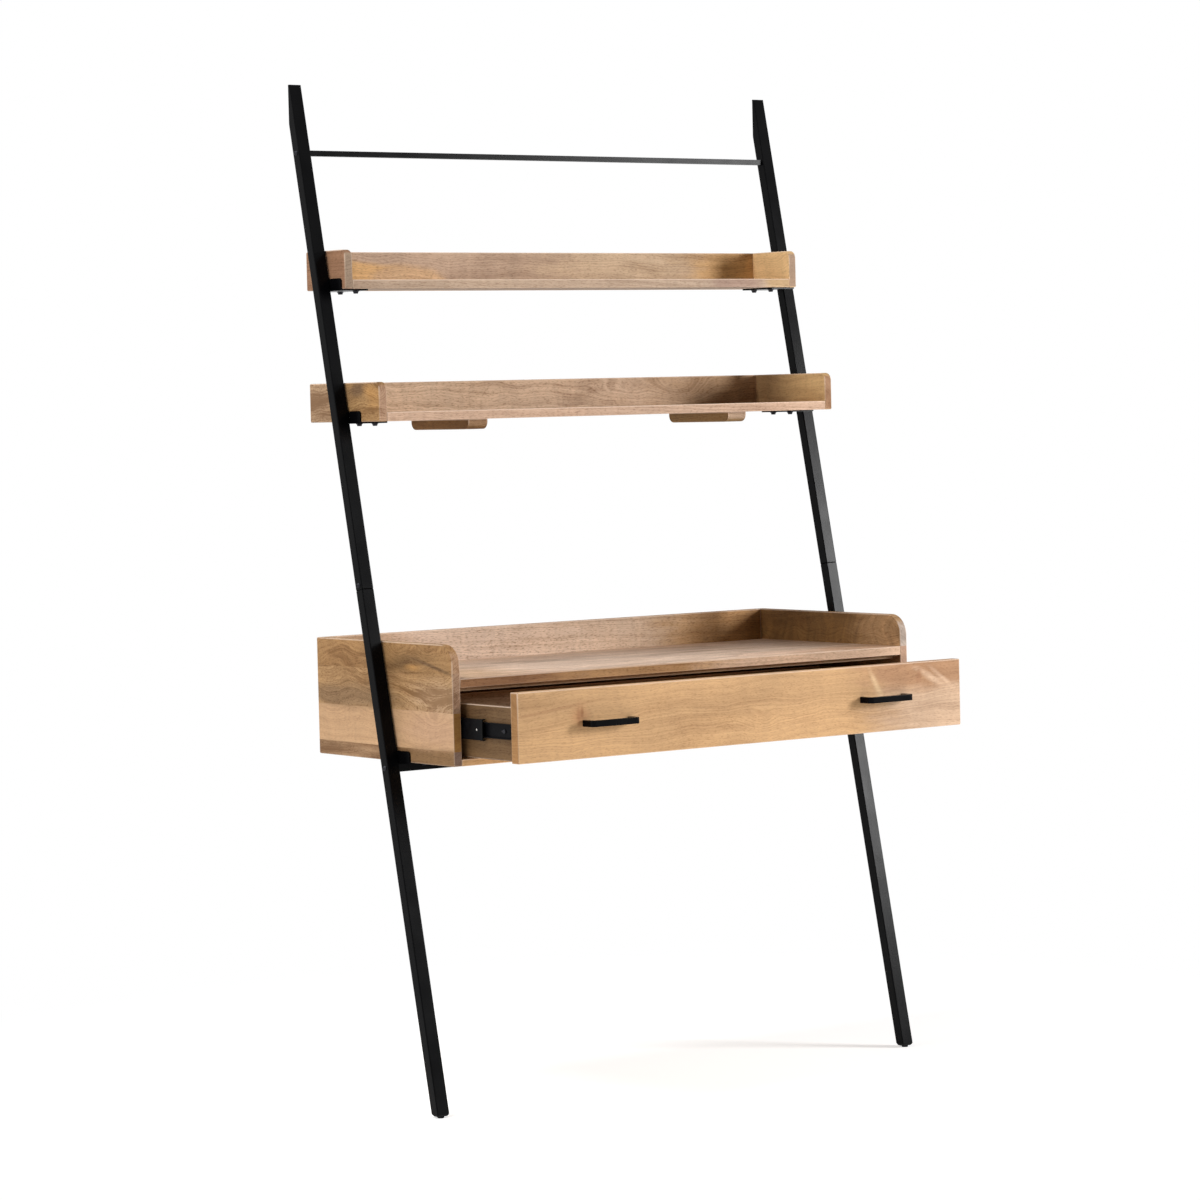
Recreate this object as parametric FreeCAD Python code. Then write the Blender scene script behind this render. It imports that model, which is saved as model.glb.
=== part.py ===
import FreeCAD, Part
import math
import os

# Leaning ladder desk: two sloping legs of black steel tube lean on a wall and carry
# two small wooden shelves and a desk box with one wide drawer on telescopic slides.
#
# Millimetres. +X is to the right, +Y towards the wall and +Z up. The floor is z = 0.
# The origin is the centre of the footprint with the drawer at its stored opening.

V = FreeCAD.Vector

# ---- frame ---------------------------------------------------------------------
HEIGHT = 1797.0            # floor to the top of the legs
WIDTH = 1080.0             # over the outer faces of the two legs
LEAN_DEG = 12.1            # legs off the vertical
LEG_W = 25.0               # leg tube, across the desk
LEG_D = 20.0               # leg tube, front to back
TUBE_WALL = 1.5
TUBE_CORNER = 2.0          # outer corner radius of the steel tubes
WALL_PLATE = 2.0           # plate that closes the sloping cut at the top of a leg
TIP_FLAT = 2.0             # what is left of the tube's depth at its very top
TIP_SOLID = 4.0            # height of the tip that the tube's hollow doesn't reach
SEAM_Z = 905.0             # where the lower and the upper length of a leg meet
SEAM_EDGE = 1.0            # both lengths are chamfered where they meet
CONNECTOR_LEN = 120.0      # inner sleeve that joins the two lengths
CONNECTOR_WALL = 2.0
CONNECTOR_SCREW_UP = 8.0   # screw above the seam, along the leg
SLIP = 0.1                 # clearance all round a piece that slips into a tube
CAP_FLANGE = 4.0           # moulded end cap under a leg
CAP_SLOPE = 3.0            # its underside slopes up towards its edges
CAP_CORNER = 4.0
CAP_PLUG = 18.0
PAD_R = 6.0                # levelling foot
PAD_H = 2.5
PAD_EDGE = 0.8
STUD_R = 3.0
STUD_LEN = 20.0
FOOT_SHOWN = 0.5           # thread that shows between the pad and the cap
RUNNING = 0.05             # radial clearance of anything that turns or rolls

RAIL = 10.0                # square bar near the top
RAIL_FROM_TOP = 122.0      # middle of the rail, below the top of the legs
CROSSBAR = 15.0            # square tube under the desk
CROSSBAR_CORNER = 1.5
CROSSBAR_PLUG = 30.0       # threaded plug in each end of the crossbar
BOLT_R = 2.5
BOLT_HEAD_R = 4.8
BOLT_HEAD_TOP_R = 3.4       # flat end of the rounded head
BOLT_HEAD_H = 2.8
BOLT_BITE = 20.0           # length of bolt past the inner face of a leg
BOLT_EASE = 0.25           # radial clearance of a bolt through a tube wall
SOCKET_R = 1.5             # hexagonal key socket, across its corners
SOCKET_DEPTH = 1.6

# ---- brackets ------------------------------------------------------------------
BRACKET_T = 3.0            # also the gap between a leg and the wooden side panel
BRACKET_LEN = 86.0         # along the side panel, centred on the leg
BRACKET_TAB = 19.0         # height of the upright flange above the underside
BRACKET_REACH = 60.0       # width of the flange under the shelf
BRACKET_CORNER = 6.0
BRACKET_SCREW_IN = 43.0    # screws, from the leg's inner face
BRACKET_SCREW_PITCH = 50.0
SCREW_R = 2.5
SCREW_BITE = 9.0           # length in the wood
SCREW_FLANGE_R = 6.0
SCREW_FLANGE_T = 1.2
SCREW_HEAD_R = 5.0
SCREW_TIP_R = 3.8
SCREW_HEAD_H = 3.6
PILOT = 0.02               # radial clearance round a screw or a dowel in wood

# ---- wooden cases ----------------------------------------------------------------
BOARD = 16.0
EASE = 1.2                 # sanded edge radius on every board
CORNER = 3.0               # small corner radius of the side panels
SHELF_H = 69.0
SHELF_R = 14.0             # upper front corner of a shelf's side panel
UPPER_FROM_TOP = 365.0     # underside of the upper shelf, below the top of the legs
UPPER_DEPTH = 125.0
LOWER_FROM_TOP = 599.0
LOWER_DEPTH = 223.0
BATTEN_W = 41.0            # battens under the lower shelf
BATTEN_T = 18.0
BATTEN_R = 14.0
BATTEN_FROM_END = 218.0    # centre of a batten from the shelf's end
BATTEN_SETBACK = 14.0      # behind the shelf's front edge
BATTEN_WALL_GAP = 28.0     # in front of the wall

DESK_Z = 607.0             # underside of the desk box
DESK_DEPTH = 425.0
DESK_SIDE_H = 208.0
DESK_R = 38.0              # upper front corner of the desk's side panel
DESK_BOX_H = 150.0         # underside to the writing surface
BOTTOM_T = 12.0            # bottom board of the desk
STOP_H = 7.0               # strip under the writing board, which stops the shut drawer
STOP_D = 20.0
STOP_GAP = 1.0             # between the strip and the shut drawer's front

DOWEL_R = 3.0
DOWEL_LEN = 30.0
DOWEL_IN_SIDE = 10.0       # part of a dowel that is in the side panel
DOWEL_GAP = 0.3            # free space at each end of a dowel
DOWEL_INSET = 26.0         # first and last dowel from a board's edges
BACK_DOWEL_INSET = 18.0    # dowels of a back panel from its edges

# ---- drawer ----------------------------------------------------------------------
DRAWER_OPEN = 165.0        # how far the drawer stands open as stored
FRONT_T = 20.0
FRONT_GAP = 1.0            # above and below the drawer front
FRONT_SIDE_GAP = 1.5
BOX_T = 12.0               # sides and back of the drawer box
BOX_H = 92.0
BOX_LIFT = 3.0             # drawer box above the desk's bottom board
BOX_PAST_SLIDE = 7.0       # drawer box behind the end of its slides
PANEL_T = 5.0              # drawer bottom
PANEL_UP = 8.0             # drawer bottom above the lower edge of the sides
GROOVE = 5.0
GROOVE_EASE = 0.1
BOX_DOWEL_R = 3.0
BOX_DOWEL_LEN = 28.0
BOX_DOWEL_SHORT = 9.0      # part of a dowel in the front, or in a drawer side
BOX_DOWEL_INSET = 21.0     # from the upper and lower edges of the drawer's sides

HANDLE_PITCH = 96.0        # between the two screws of a handle
HANDLE_H = 11.0
HANDLE_T = 8.0
HANDLE_REACH = 28.0
HANDLE_BEND = 9.0
HANDLE_INNER_BEND = 3.0
HANDLE_EASE = 0.8
HANDLE_FROM_END = 186.5    # centre of a handle from the drawer front's end
HANDLE_SCREW_R = 2.0
HANDLE_SCREW_BITE = 10.0
HANDLE_SCREW_HEAD_R = 4.0
HANDLE_SCREW_HEAD_H = 2.4

# ---- telescopic slides -----------------------------------------------------------
SLIDE_GAP = 13.0           # between the desk's side panel and the drawer's side
SLIDE_LEN = 350.0
SLIDE_UP = 65.0            # centre of the slide above the underside of the desk
SLIDE_BACK = 3.0           # slide behind the drawer front's inner face
STEEL = 1.2                # sheet of the three members
MIDDLE_SHORT = 8.0         # middle member shorter than the others, at its front end
CABINET_MEMBER_H = 45.0
CABINET_FLANGE = 9.5
MIDDLE_FROM_PANEL = 4.4    # web of the middle member from the desk's side panel
MIDDLE_FLANGE = 6.6
DRAWER_FLANGE = 5.6
BALL_R = 1.7
BALL_PITCH = 12.0
BALLS = 8                  # in each of the two rows of a cage
CAGE_SHEET = 0.5
CAGE_FLANGE_T = 0.8
CAGE_FLANGE = 5.0
CAGE_AHEAD = 0.7           # cage web in front of the web that it runs along
CAGE_END = 8.0             # cage past its first and last ball
CAGE_LIP = 1.0             # cage flange past its balls
SLIDE_SCREW_R = 1.75
SLIDE_SCREW_BITE = 10.0
SLIDE_SCREW_HEAD_R = 3.6
SLIDE_SCREW_HEAD_H = 1.7
SLIDE_SCREW_INSET = 30.0   # first and last screw from the ends of a member

# ---- places that follow from the sizes -----------------------------------------------
WALL_Y = (DESK_DEPTH + DRAWER_OPEN + HANDLE_REACH) / 2
LEAN = math.radians(LEAN_DEG)
TAN_LEAN = math.tan(LEAN)
FOOT_OUT = HEIGHT * TAN_LEAN + WALL_PLATE + TIP_FLAT   # wall to a leg's front face, at floor level
UPPER_Z = HEIGHT - UPPER_FROM_TOP
LOWER_Z = HEIGHT - LOWER_FROM_TOP
RAIL_Z = HEIGHT - RAIL_FROM_TOP
LEG_IN = WIDTH / 2 - LEG_W                 # inner face of a leg
CASE_X = LEG_IN - BRACKET_T                # outer face of the wooden side panels
INNER_X = CASE_X - BOARD                   # inner face of the wooden side panels
CAP_Z = PAD_H + FOOT_SHOWN                 # underside of the end cap
LEG_Z = CAP_Z + CAP_FLANGE                 # lower end of the leg tube
DESK_FRONT = WALL_Y - DESK_DEPTH
BOTTOM_TOP = DESK_Z + BOTTOM_T
SURFACE_Z = DESK_Z + DESK_BOX_H
TOP_UNDER = SURFACE_Z - BOARD
FRONT_Z0 = BOTTOM_TOP + FRONT_GAP
FRONT_Z1 = TOP_UNDER - FRONT_GAP
FRONT_X = INNER_X - FRONT_SIDE_GAP
FRONT_Y = DESK_FRONT - DRAWER_OPEN         # outer face of the drawer front, as stored
BOX_Y = FRONT_Y + FRONT_T                  # where the drawer box starts
BOX_DEPTH = SLIDE_BACK + SLIDE_LEN + BOX_PAST_SLIDE
BOX_X = INNER_X - SLIDE_GAP                # outer face of the drawer's sides
BOX_Z = BOTTOM_TOP + BOX_LIFT
PANEL_Z = BOX_Z + PANEL_UP
SLIDE_Z = DESK_Z + SLIDE_UP
SLIDE_Y = DESK_FRONT + FRONT_T + SLIDE_BACK    # front end of the cabinet member
CROSSBAR_Z = DESK_Z - BRACKET_T - CROSSBAR / 2


def leg_y(z):
    """Middle of a leg, front to back, at height z."""
    front = WALL_Y - FOOT_OUT + z * TAN_LEAN
    return front + LEG_D / math.cos(LEAN) / 2


# ---- helpers -------------------------------------------------------------------------
def box(x0, x1, y0, y1, z0, z1):
    return Part.makeBox(x1 - x0, y1 - y0, z1 - z0, V(x0, y0, z0))


def rod(radius, start, direction, length):
    return Part.makeCylinder(radius, length, start, direction)


def mirrored(shape):
    return shape.mirror(V(0, 0, 0), V(1, 0, 0))


def both(shape):
    """A piece on the left and its mirror image on the right."""
    return [shape, mirrored(shape)]


def runs_along(edge, axis):
    """True for a straight edge that is parallel to the axis."""
    ends = edge.Vertexes
    if len(ends) != 2:
        return False
    step = ends[1].Point - ends[0].Point
    return step.cross(axis).Length < 1e-6 * max(step.Length, 1.0)


def round_edges(shape, radius, axis, wanted=lambda p: True):
    """Round the straight edges along the axis whose midpoint is wanted."""
    picked = [e for e in shape.Edges if runs_along(e, axis) and wanted(e.CenterOfMass)]
    return shape.makeFillet(radius, picked)


def eased(shape, radius=EASE):
    return shape.makeFillet(radius, shape.Edges)


def drilled(shape, tools):
    return shape.cut(tools) if tools else shape


def save(node, shapes):
    solids = shapes if isinstance(shapes, list) else [shapes]
    shape = solids[0] if len(solids) == 1 else Part.makeCompound(solids)
    shape.exportStep("parts/" + node + ".step")


# ---- legs ----------------------------------------------------------------------------
def along_leg(shape, z):
    """Tilt a piece made round the local z axis onto the left leg's axis at height z."""
    shape = shape.copy()
    shape.rotate(V(0, 0, 0), V(1, 0, 0), -math.degrees(LEAN))
    shape.translate(V(-(WIDTH - LEG_W) / 2, leg_y(z), z))
    return shape


def bar(w, d, s0, s1, corner=0.0):
    """A bar about the local z axis, from s0 to s1 along it."""
    shape = box(-w / 2, w / 2, -d / 2, d / 2, s0, s1)
    return round_edges(shape, corner, V(0, 0, 1)) if corner else shape


def seam_edge(edge):
    """True for an edge of a leg tube that lies in the plane of the seam."""
    axis = V(0, math.sin(LEAN), math.cos(LEAN))
    seam = V(0, leg_y(SEAM_Z), SEAM_Z)
    return all(abs((v.Point - seam).dot(axis)) < 1e-3 for v in edge.Vertexes)


def leg_tube(s0, s1, hollow_top=None):
    """Leg tube from s0 to s1 along the leg, measured from the seam."""
    outer = along_leg(bar(LEG_W, LEG_D, s0, s1, TUBE_CORNER), SEAM_Z)
    inner = along_leg(bar(LEG_W - 2 * TUBE_WALL, LEG_D - 2 * TUBE_WALL, s0 - 1, s1 + 1), SEAM_Z)
    outer = outer.makeChamfer(SEAM_EDGE, [e for e in outer.Edges if seam_edge(e)])
    if hollow_top is not None:
        inner = inner.common(box(-WIDTH, WIDTH, -HEIGHT, HEIGHT, 0, hollow_top))
    return outer.cut(inner)


def leg_hole(radius, z):
    """Hole through both side walls of the left leg, across the desk."""
    return rod(radius, V(-WIDTH / 2 - 1, leg_y(z), z), V(1, 0, 0), LEG_W + 2)


def connector_screw_point():
    """Where the connector's screw meets the outer face of the left leg."""
    up = CONNECTOR_SCREW_UP
    z = SEAM_Z + up * math.cos(LEAN)
    return V(-WIDTH / 2, leg_y(SEAM_Z) + up * math.sin(LEAN), z)


def lower_leg():
    tube = leg_tube(-SEAM_Z / math.cos(LEAN) - LEG_D, 0)
    tube = tube.common(box(-WIDTH, WIDTH, -HEIGHT, HEIGHT, LEG_Z, HEIGHT))
    return tube.cut(leg_hole(BOLT_R + BOLT_EASE, CROSSBAR_Z))


def upper_leg():
    tube = leg_tube(0, HEIGHT, HEIGHT - TIP_SOLID)
    tube = tube.common(box(-WIDTH, WIDTH, -HEIGHT, WALL_Y - WALL_PLATE, 0, HEIGHT))
    point = connector_screw_point()
    side_hole = rod(BOLT_R + BOLT_EASE, point - V(1, 0, 0), V(1, 0, 0), TUBE_WALL + 2)
    return tube.cut([leg_hole(BOLT_R + BOLT_EASE, RAIL_Z), side_hole])


def leg_connector():
    w = LEG_W - 2 * TUBE_WALL - 2 * SLIP
    d = LEG_D - 2 * TUBE_WALL - 2 * SLIP
    half = CONNECTOR_LEN / 2
    sleeve = along_leg(bar(w, d, -half, half), SEAM_Z)
    hollow = along_leg(bar(w - 2 * CONNECTOR_WALL, d - 2 * CONNECTOR_WALL, -half - 1, half + 1), SEAM_Z)
    thread = rod(BOLT_R + PILOT, connector_screw_point(), V(1, 0, 0), LEG_W / 2)
    return sleeve.cut([hollow, thread])


def button_bolt(length):
    """Button head bolt: head below z = 0, shank up to z = length, key socket in the head."""
    head = Part.makeCone(BOLT_HEAD_TOP_R, BOLT_HEAD_R, BOLT_HEAD_H, V(0, 0, -BOLT_HEAD_H))
    shank = rod(BOLT_R, V(0, 0, 0), V(0, 0, 1), length)
    corners = [V(SOCKET_R * math.cos(math.radians(60 * i)), SOCKET_R * math.sin(math.radians(60 * i)),
                 -BOLT_HEAD_H - 1) for i in range(7)]
    socket = Part.Face(Part.makePolygon(corners)).extrude(V(0, 0, SOCKET_DEPTH + 1))
    return head.fuse(shank).cut(socket).removeSplitter()


def bolt_from_left(point, length):
    """A button bolt whose head lies on the left, its shank along +X from the point."""
    shape = button_bolt(length)
    shape.rotate(V(0, 0, 0), V(0, 1, 0), 90)
    shape.translate(point)
    return shape


def connector_screw():
    return bolt_from_left(connector_screw_point(), TUBE_WALL + SLIP + CONNECTOR_WALL)


def wall_plate():
    """Plate on the vertical cut at the top of the left leg: the face that meets the wall."""
    slab = box(-WIDTH, 0, WALL_Y - WALL_PLATE, WALL_Y, 0, HEIGHT)
    return along_leg(bar(LEG_W, LEG_D, 0, HEIGHT, TUBE_CORNER), SEAM_Z).common(slab)


def foot_axis():
    """Centre of the left levelling foot, on the floor."""
    return V(-(WIDTH - LEG_W) / 2, leg_y(CAP_Z), 0)


def leg_end_cap():
    c = foot_axis()
    depth = LEG_D / math.cos(LEAN)
    flange = box(c.x - LEG_W / 2, c.x + LEG_W / 2, c.y - depth / 2, c.y + depth / 2, CAP_Z, LEG_Z)
    flange = round_edges(flange, CAP_CORNER, V(0, 0, 1))
    flange = flange.makeChamfer(CAP_SLOPE, [e for e in flange.Edges if e.BoundBox.ZMax < CAP_Z + 1e-3])
    flange.translate(V(0, leg_y(LEG_Z) - leg_y(CAP_Z), 0))
    w = LEG_W - 2 * TUBE_WALL - 2 * SLIP
    d = LEG_D - 2 * TUBE_WALL - 2 * SLIP
    plug = along_leg(bar(w, d, -LEG_D, CAP_PLUG), LEG_Z)
    plug = plug.common(box(-WIDTH, WIDTH, -HEIGHT, HEIGHT, LEG_Z - CAP_FLANGE / 2, HEIGHT))
    thread = rod(STUD_R + RUNNING, V(c.x, c.y, 0), V(0, 0, 1), HEIGHT / 2)
    return flange.fuse(plug).cut(thread).removeSplitter()


def levelling_foot():
    c = foot_axis()
    pad = rod(PAD_R, c, V(0, 0, 1), PAD_H)
    pad = pad.makeChamfer(PAD_EDGE, [e for e in pad.Edges if not runs_along(e, V(0, 0, 1))])
    stud = rod(STUD_R, c + V(0, 0, PAD_H), V(0, 0, 1), STUD_LEN)
    return pad.fuse(stud).removeSplitter()


# ---- cross members ---------------------------------------------------------------------
def rail_bolt_holes(z):
    start = V(-LEG_IN, leg_y(z), z)
    hole = rod(BOLT_R + PILOT, start, V(1, 0, 0), BOLT_BITE + 1)
    return both(hole)


def top_rail():
    y = leg_y(RAIL_Z)
    shape = box(-LEG_IN, LEG_IN, y - RAIL / 2, y + RAIL / 2, RAIL_Z - RAIL / 2, RAIL_Z + RAIL / 2)
    return shape.cut(rail_bolt_holes(RAIL_Z))


def crossbar():
    y = leg_y(CROSSBAR_Z)
    h = CROSSBAR / 2
    t = h - TUBE_WALL
    outer = box(-LEG_IN, LEG_IN, y - h, y + h, CROSSBAR_Z - h, CROSSBAR_Z + h)
    outer = round_edges(outer, CROSSBAR_CORNER, V(1, 0, 0))
    return outer.cut(box(-WIDTH, WIDTH, y - t, y + t, CROSSBAR_Z - t, CROSSBAR_Z + t))


def crossbar_plugs():
    y = leg_y(CROSSBAR_Z)
    t = CROSSBAR / 2 - TUBE_WALL - SLIP
    plug = box(-LEG_IN, -LEG_IN + CROSSBAR_PLUG, y - t, y + t, CROSSBAR_Z - t, CROSSBAR_Z + t)
    return both(plug.cut(rail_bolt_holes(CROSSBAR_Z)[0]))


def through_bolts(z):
    return both(bolt_from_left(V(-WIDTH / 2, leg_y(z), z), LEG_W + BOLT_BITE))


# ---- brackets --------------------------------------------------------------------------
def bracket_screw_points(z):
    """Where the two screws of the left bracket enter the wood, at the underside z."""
    x = -LEG_IN + BRACKET_SCREW_IN
    half = BRACKET_SCREW_PITCH / 2
    return [V(x, leg_y(z) + side * half, z) for side in (-1, 1)]


def bracket(z):
    """Left angle bracket of the case whose underside is at z."""
    y0 = leg_y(z) - BRACKET_LEN / 2
    y1 = leg_y(z) + BRACKET_LEN / 2
    tab = box(-LEG_IN, -CASE_X, y0, y1, z - BRACKET_T, z + BRACKET_TAB)
    tab = round_edges(tab, BRACKET_CORNER, V(1, 0, 0), lambda p: p.z > z)
    plate = box(-LEG_IN, -LEG_IN + BRACKET_REACH, y0, y1, z - BRACKET_T, z)
    plate = round_edges(plate, BRACKET_CORNER, V(0, 0, 1), lambda p: p.x > -CASE_X)
    holes = [rod(SCREW_R + BOLT_EASE, p - V(0, 0, BRACKET_T + 1), V(0, 0, 1), BRACKET_T + 2)
             for p in bracket_screw_points(z)]
    return tab.fuse(plate).removeSplitter().cut(holes)


def bracket_screw(point):
    """Screw under a bracket: a flange, a tapered head and a shank up into the wood."""
    under = point - V(0, 0, BRACKET_T)
    low = under - V(0, 0, SCREW_FLANGE_T)
    flange = rod(SCREW_FLANGE_R, low, V(0, 0, 1), SCREW_FLANGE_T)
    head = Part.makeCone(SCREW_TIP_R, SCREW_HEAD_R, SCREW_HEAD_H, low - V(0, 0, SCREW_HEAD_H))
    shank = rod(SCREW_R, under, V(0, 0, 1), BRACKET_T + SCREW_BITE)
    return flange.fuse([head, shank]).removeSplitter()


def bracket_screw_holes(z):
    holes = [rod(SCREW_R + PILOT, p, V(0, 0, 1), SCREW_BITE + 1) for p in bracket_screw_points(z)]
    return holes + [mirrored(h) for h in holes]


# ---- wooden cases ------------------------------------------------------------------------
def board(x0, x1, y0, y1, z0, z1):
    return eased(box(x0, x1, y0, y1, z0, z1))


def side_panel(depth, z, height, big_corner):
    """Left side panel with a large upper front corner and small other corners."""
    y0 = WALL_Y - depth
    panel = box(-CASE_X, -INNER_X, y0, WALL_Y, z, z + height)
    middle = WALL_Y - depth / 2

    def is_big(p):
        return p.y < middle and p.z > z + height / 2
    panel = round_edges(panel, big_corner, V(1, 0, 0), is_big)
    panel = round_edges(panel, CORNER, V(1, 0, 0), lambda p: not is_big(p) and p.y < middle
                        and p.z < z + CORNER or p.y > WALL_Y - CORNER)
    return eased(panel)


def dowel_line(y_points, z_points):
    """Starts of the left dowels that run across the desk, inside the side panel."""
    x = -INNER_X - DOWEL_IN_SIDE
    return [V(x, y, z) for y in y_points for z in z_points]


def spread(low, high, count):
    return [low + (high - low) * i / (count - 1) for i in range(count)]


def dowels_at(points):
    """Dowels on both ends of a case, for the left starting points."""
    made = [rod(DOWEL_R, p + V(DOWEL_GAP, 0, 0), V(1, 0, 0), DOWEL_LEN - 2 * DOWEL_GAP) for p in points]
    return made + [mirrored(d) for d in made]


def dowel_holes(points):
    holes = [rod(DOWEL_R + PILOT, p, V(1, 0, 0), DOWEL_LEN) for p in points]
    return holes + [mirrored(h) for h in holes]


def case_dowel_points(depth, z, height, board_middles, count):
    """Dowels of the boards at these middle heights, count to a board, and of the back panel."""
    front = WALL_Y - depth + DOWEL_INSET
    rear = WALL_Y - BOARD - DOWEL_INSET
    boards = dowel_line(spread(front, rear, count), board_middles)
    back = dowel_line([WALL_Y - BOARD / 2], [z + BACK_DOWEL_INSET, z + height - BACK_DOWEL_INSET])
    return boards + back


def make_shelf(name, depth, z):
    """Tray shelf: floor board, back board behind it and a side panel at each end."""
    points = case_dowel_points(depth, z, SHELF_H, [z + BOARD / 2], 2)
    holes = dowel_holes(points)
    rear = WALL_Y - BOARD
    floor = board(-INNER_X, INNER_X, WALL_Y - depth, rear, z, z + BOARD)
    back = board(-INNER_X, INNER_X, rear, WALL_Y, z, z + SHELF_H)
    side = drilled(side_panel(depth, z, SHELF_H, SHELF_R), holes)
    save(name + "_floor", drilled(floor, holes + bracket_screw_holes(z)))
    save(name + "_back", drilled(back, holes))
    save(name + "_left_side", side)
    save(name + "_right_side", mirrored(side))
    return dowels_at(points)


def batten():
    """Left batten under the lower shelf, its lower ends rounded."""
    x = -CASE_X + BATTEN_FROM_END
    y0 = WALL_Y - LOWER_DEPTH + BATTEN_SETBACK
    y1 = WALL_Y - BATTEN_WALL_GAP
    shape = box(x - BATTEN_W / 2, x + BATTEN_W / 2, y0, y1, LOWER_Z - BATTEN_T, LOWER_Z)
    low = LOWER_Z - BATTEN_T / 2
    return round_edges(shape, BATTEN_R, V(1, 0, 0), lambda p: p.z < low)


def make_desk():
    """Desk box: writing board, bottom board, back and side panels, open at the front."""
    middles = [DESK_Z + BOTTOM_T / 2, SURFACE_Z - BOARD / 2]
    points = case_dowel_points(DESK_DEPTH, DESK_Z, DESK_SIDE_H, middles, 3)
    holes = dowel_holes(points)
    rear = WALL_Y - BOARD
    side = side_panel(DESK_DEPTH, DESK_Z, DESK_SIDE_H, DESK_R)
    screws = slide_screw_holes(-INNER_X, -1, SLIDE_Y)
    side = drilled(side, holes + screws)
    save("desk_left_side", side)
    save("desk_right_side", mirrored(side))
    top = board(-INNER_X, INNER_X, DESK_FRONT, rear, TOP_UNDER, SURFACE_Z)
    save("desk_writing_board", drilled(top, holes))
    bottom = board(-INNER_X, INNER_X, DESK_FRONT, rear, DESK_Z, BOTTOM_TOP)
    save("desk_bottom_board", drilled(bottom, holes + bracket_screw_holes(DESK_Z)))
    back = board(-INNER_X, INNER_X, rear, WALL_Y, DESK_Z, DESK_Z + DESK_SIDE_H)
    save("desk_back", drilled(back, holes))
    stop_y = DESK_FRONT + FRONT_T + STOP_GAP
    save("desk_drawer_stop", box(-INNER_X, INNER_X, stop_y, stop_y + STOP_D, TOP_UNDER - STOP_H, TOP_UNDER))
    return dowels_at(points)


# ---- drawer ------------------------------------------------------------------------------
def panel_groove():
    """The slot for the drawer's bottom panel, in the front and in both sides."""
    x = BOX_X - BOX_T + GROOVE
    e = GROOVE_EASE
    return box(-x, x, BOX_Y - GROOVE, BOX_Y + BOX_DEPTH + 1, PANEL_Z - e, PANEL_Z + PANEL_T + e)


def front_dowel_points():
    x = -BOX_X + BOX_T / 2
    heights = [BOX_Z + BOX_DOWEL_INSET, BOX_Z + BOX_H - BOX_DOWEL_INSET]
    return [V(x, BOX_Y - BOX_DOWEL_SHORT, z) for z in heights]


def rear_dowel_points():
    y = BOX_Y + BOX_DEPTH - BOX_T / 2
    heights = [PANEL_Z + PANEL_T + BOX_DOWEL_INSET / 2, BOX_Z + BOX_H - BOX_DOWEL_INSET]
    return [V(-BOX_X + BOX_T - BOX_DOWEL_SHORT, y, z) for z in heights]


def drawer_dowels(radius, gap):
    length = BOX_DOWEL_LEN - 2 * gap
    made = [rod(radius, p + V(0, gap, 0), V(0, 1, 0), length) for p in front_dowel_points()]
    made += [rod(radius, p + V(gap, 0, 0), V(1, 0, 0), length) for p in rear_dowel_points()]
    return made + [mirrored(d) for d in made]


def make_drawer():
    holes = drawer_dowels(BOX_DOWEL_R + PILOT, 0.0)
    rear = BOX_Y + BOX_DEPTH
    top = BOX_Z + BOX_H
    front = board(-FRONT_X, FRONT_X, FRONT_Y, BOX_Y, FRONT_Z0, FRONT_Z1)
    save("drawer_front", drilled(front, holes + [panel_groove()] + handle_screw_holes()))
    side = board(-BOX_X, -BOX_X + BOX_T, BOX_Y, rear, BOX_Z, top)
    screws = slide_screw_holes(-BOX_X, 1, drawer_slide_y())
    side = drilled(side, holes + [panel_groove()] + screws)
    save("drawer_left_side", side)
    save("drawer_right_side", mirrored(side))
    inner = BOX_X - BOX_T
    back = board(-inner, inner, rear - BOX_T, rear, PANEL_Z + PANEL_T, top)
    save("drawer_back", drilled(back, holes))
    x = inner + GROOVE - GROOVE_EASE
    y0 = BOX_Y - GROOVE + GROOVE_EASE
    save("drawer_bottom_panel", box(-x, x, y0, rear, PANEL_Z, PANEL_Z + PANEL_T))
    save("drawer_dowels", drawer_dowels(BOX_DOWEL_R, DOWEL_GAP))


def handle_x():
    """Centre of the left handle."""
    return -FRONT_X + HANDLE_FROM_END


def handle_z():
    return (FRONT_Z0 + FRONT_Z1) / 2


def handle():
    """Left flat bar handle, bent at both ends, on the face of the drawer front."""
    x, z = handle_x(), handle_z()
    half = (HANDLE_PITCH + HANDLE_T) / 2
    outer = box(x - half, x + half, FRONT_Y - HANDLE_REACH, FRONT_Y, z - HANDLE_H / 2, z + HANDLE_H / 2)
    outer = round_edges(outer, HANDLE_BEND, V(0, 0, 1), lambda p: p.y < FRONT_Y - 1)
    inside = half - HANDLE_T
    y1 = FRONT_Y - HANDLE_REACH + HANDLE_T
    inner = box(x - inside, x + inside, y1, FRONT_Y + 1 + HANDLE_INNER_BEND, z - HANDLE_H, z + HANDLE_H)
    inner = round_edges(inner, HANDLE_INNER_BEND, V(0, 0, 1), lambda p: p.y < FRONT_Y - 1)
    bent = outer.cut(inner)
    bent = bent.makeFillet(HANDLE_EASE, [e for e in bent.Edges if e.CenterOfMass.y < FRONT_Y - 0.01
                                         and abs(abs(e.CenterOfMass.z - z) - HANDLE_H / 2) < 1e-6])
    threads = [rod(HANDLE_SCREW_R + PILOT, V(sx, FRONT_Y, z), V(0, -1, 0), HANDLE_SCREW_BITE + 1)
               for sx in handle_screw_xs()]
    return bent.cut(threads)


def handle_screw_xs():
    return [handle_x() - HANDLE_PITCH / 2, handle_x() + HANDLE_PITCH / 2]


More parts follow.
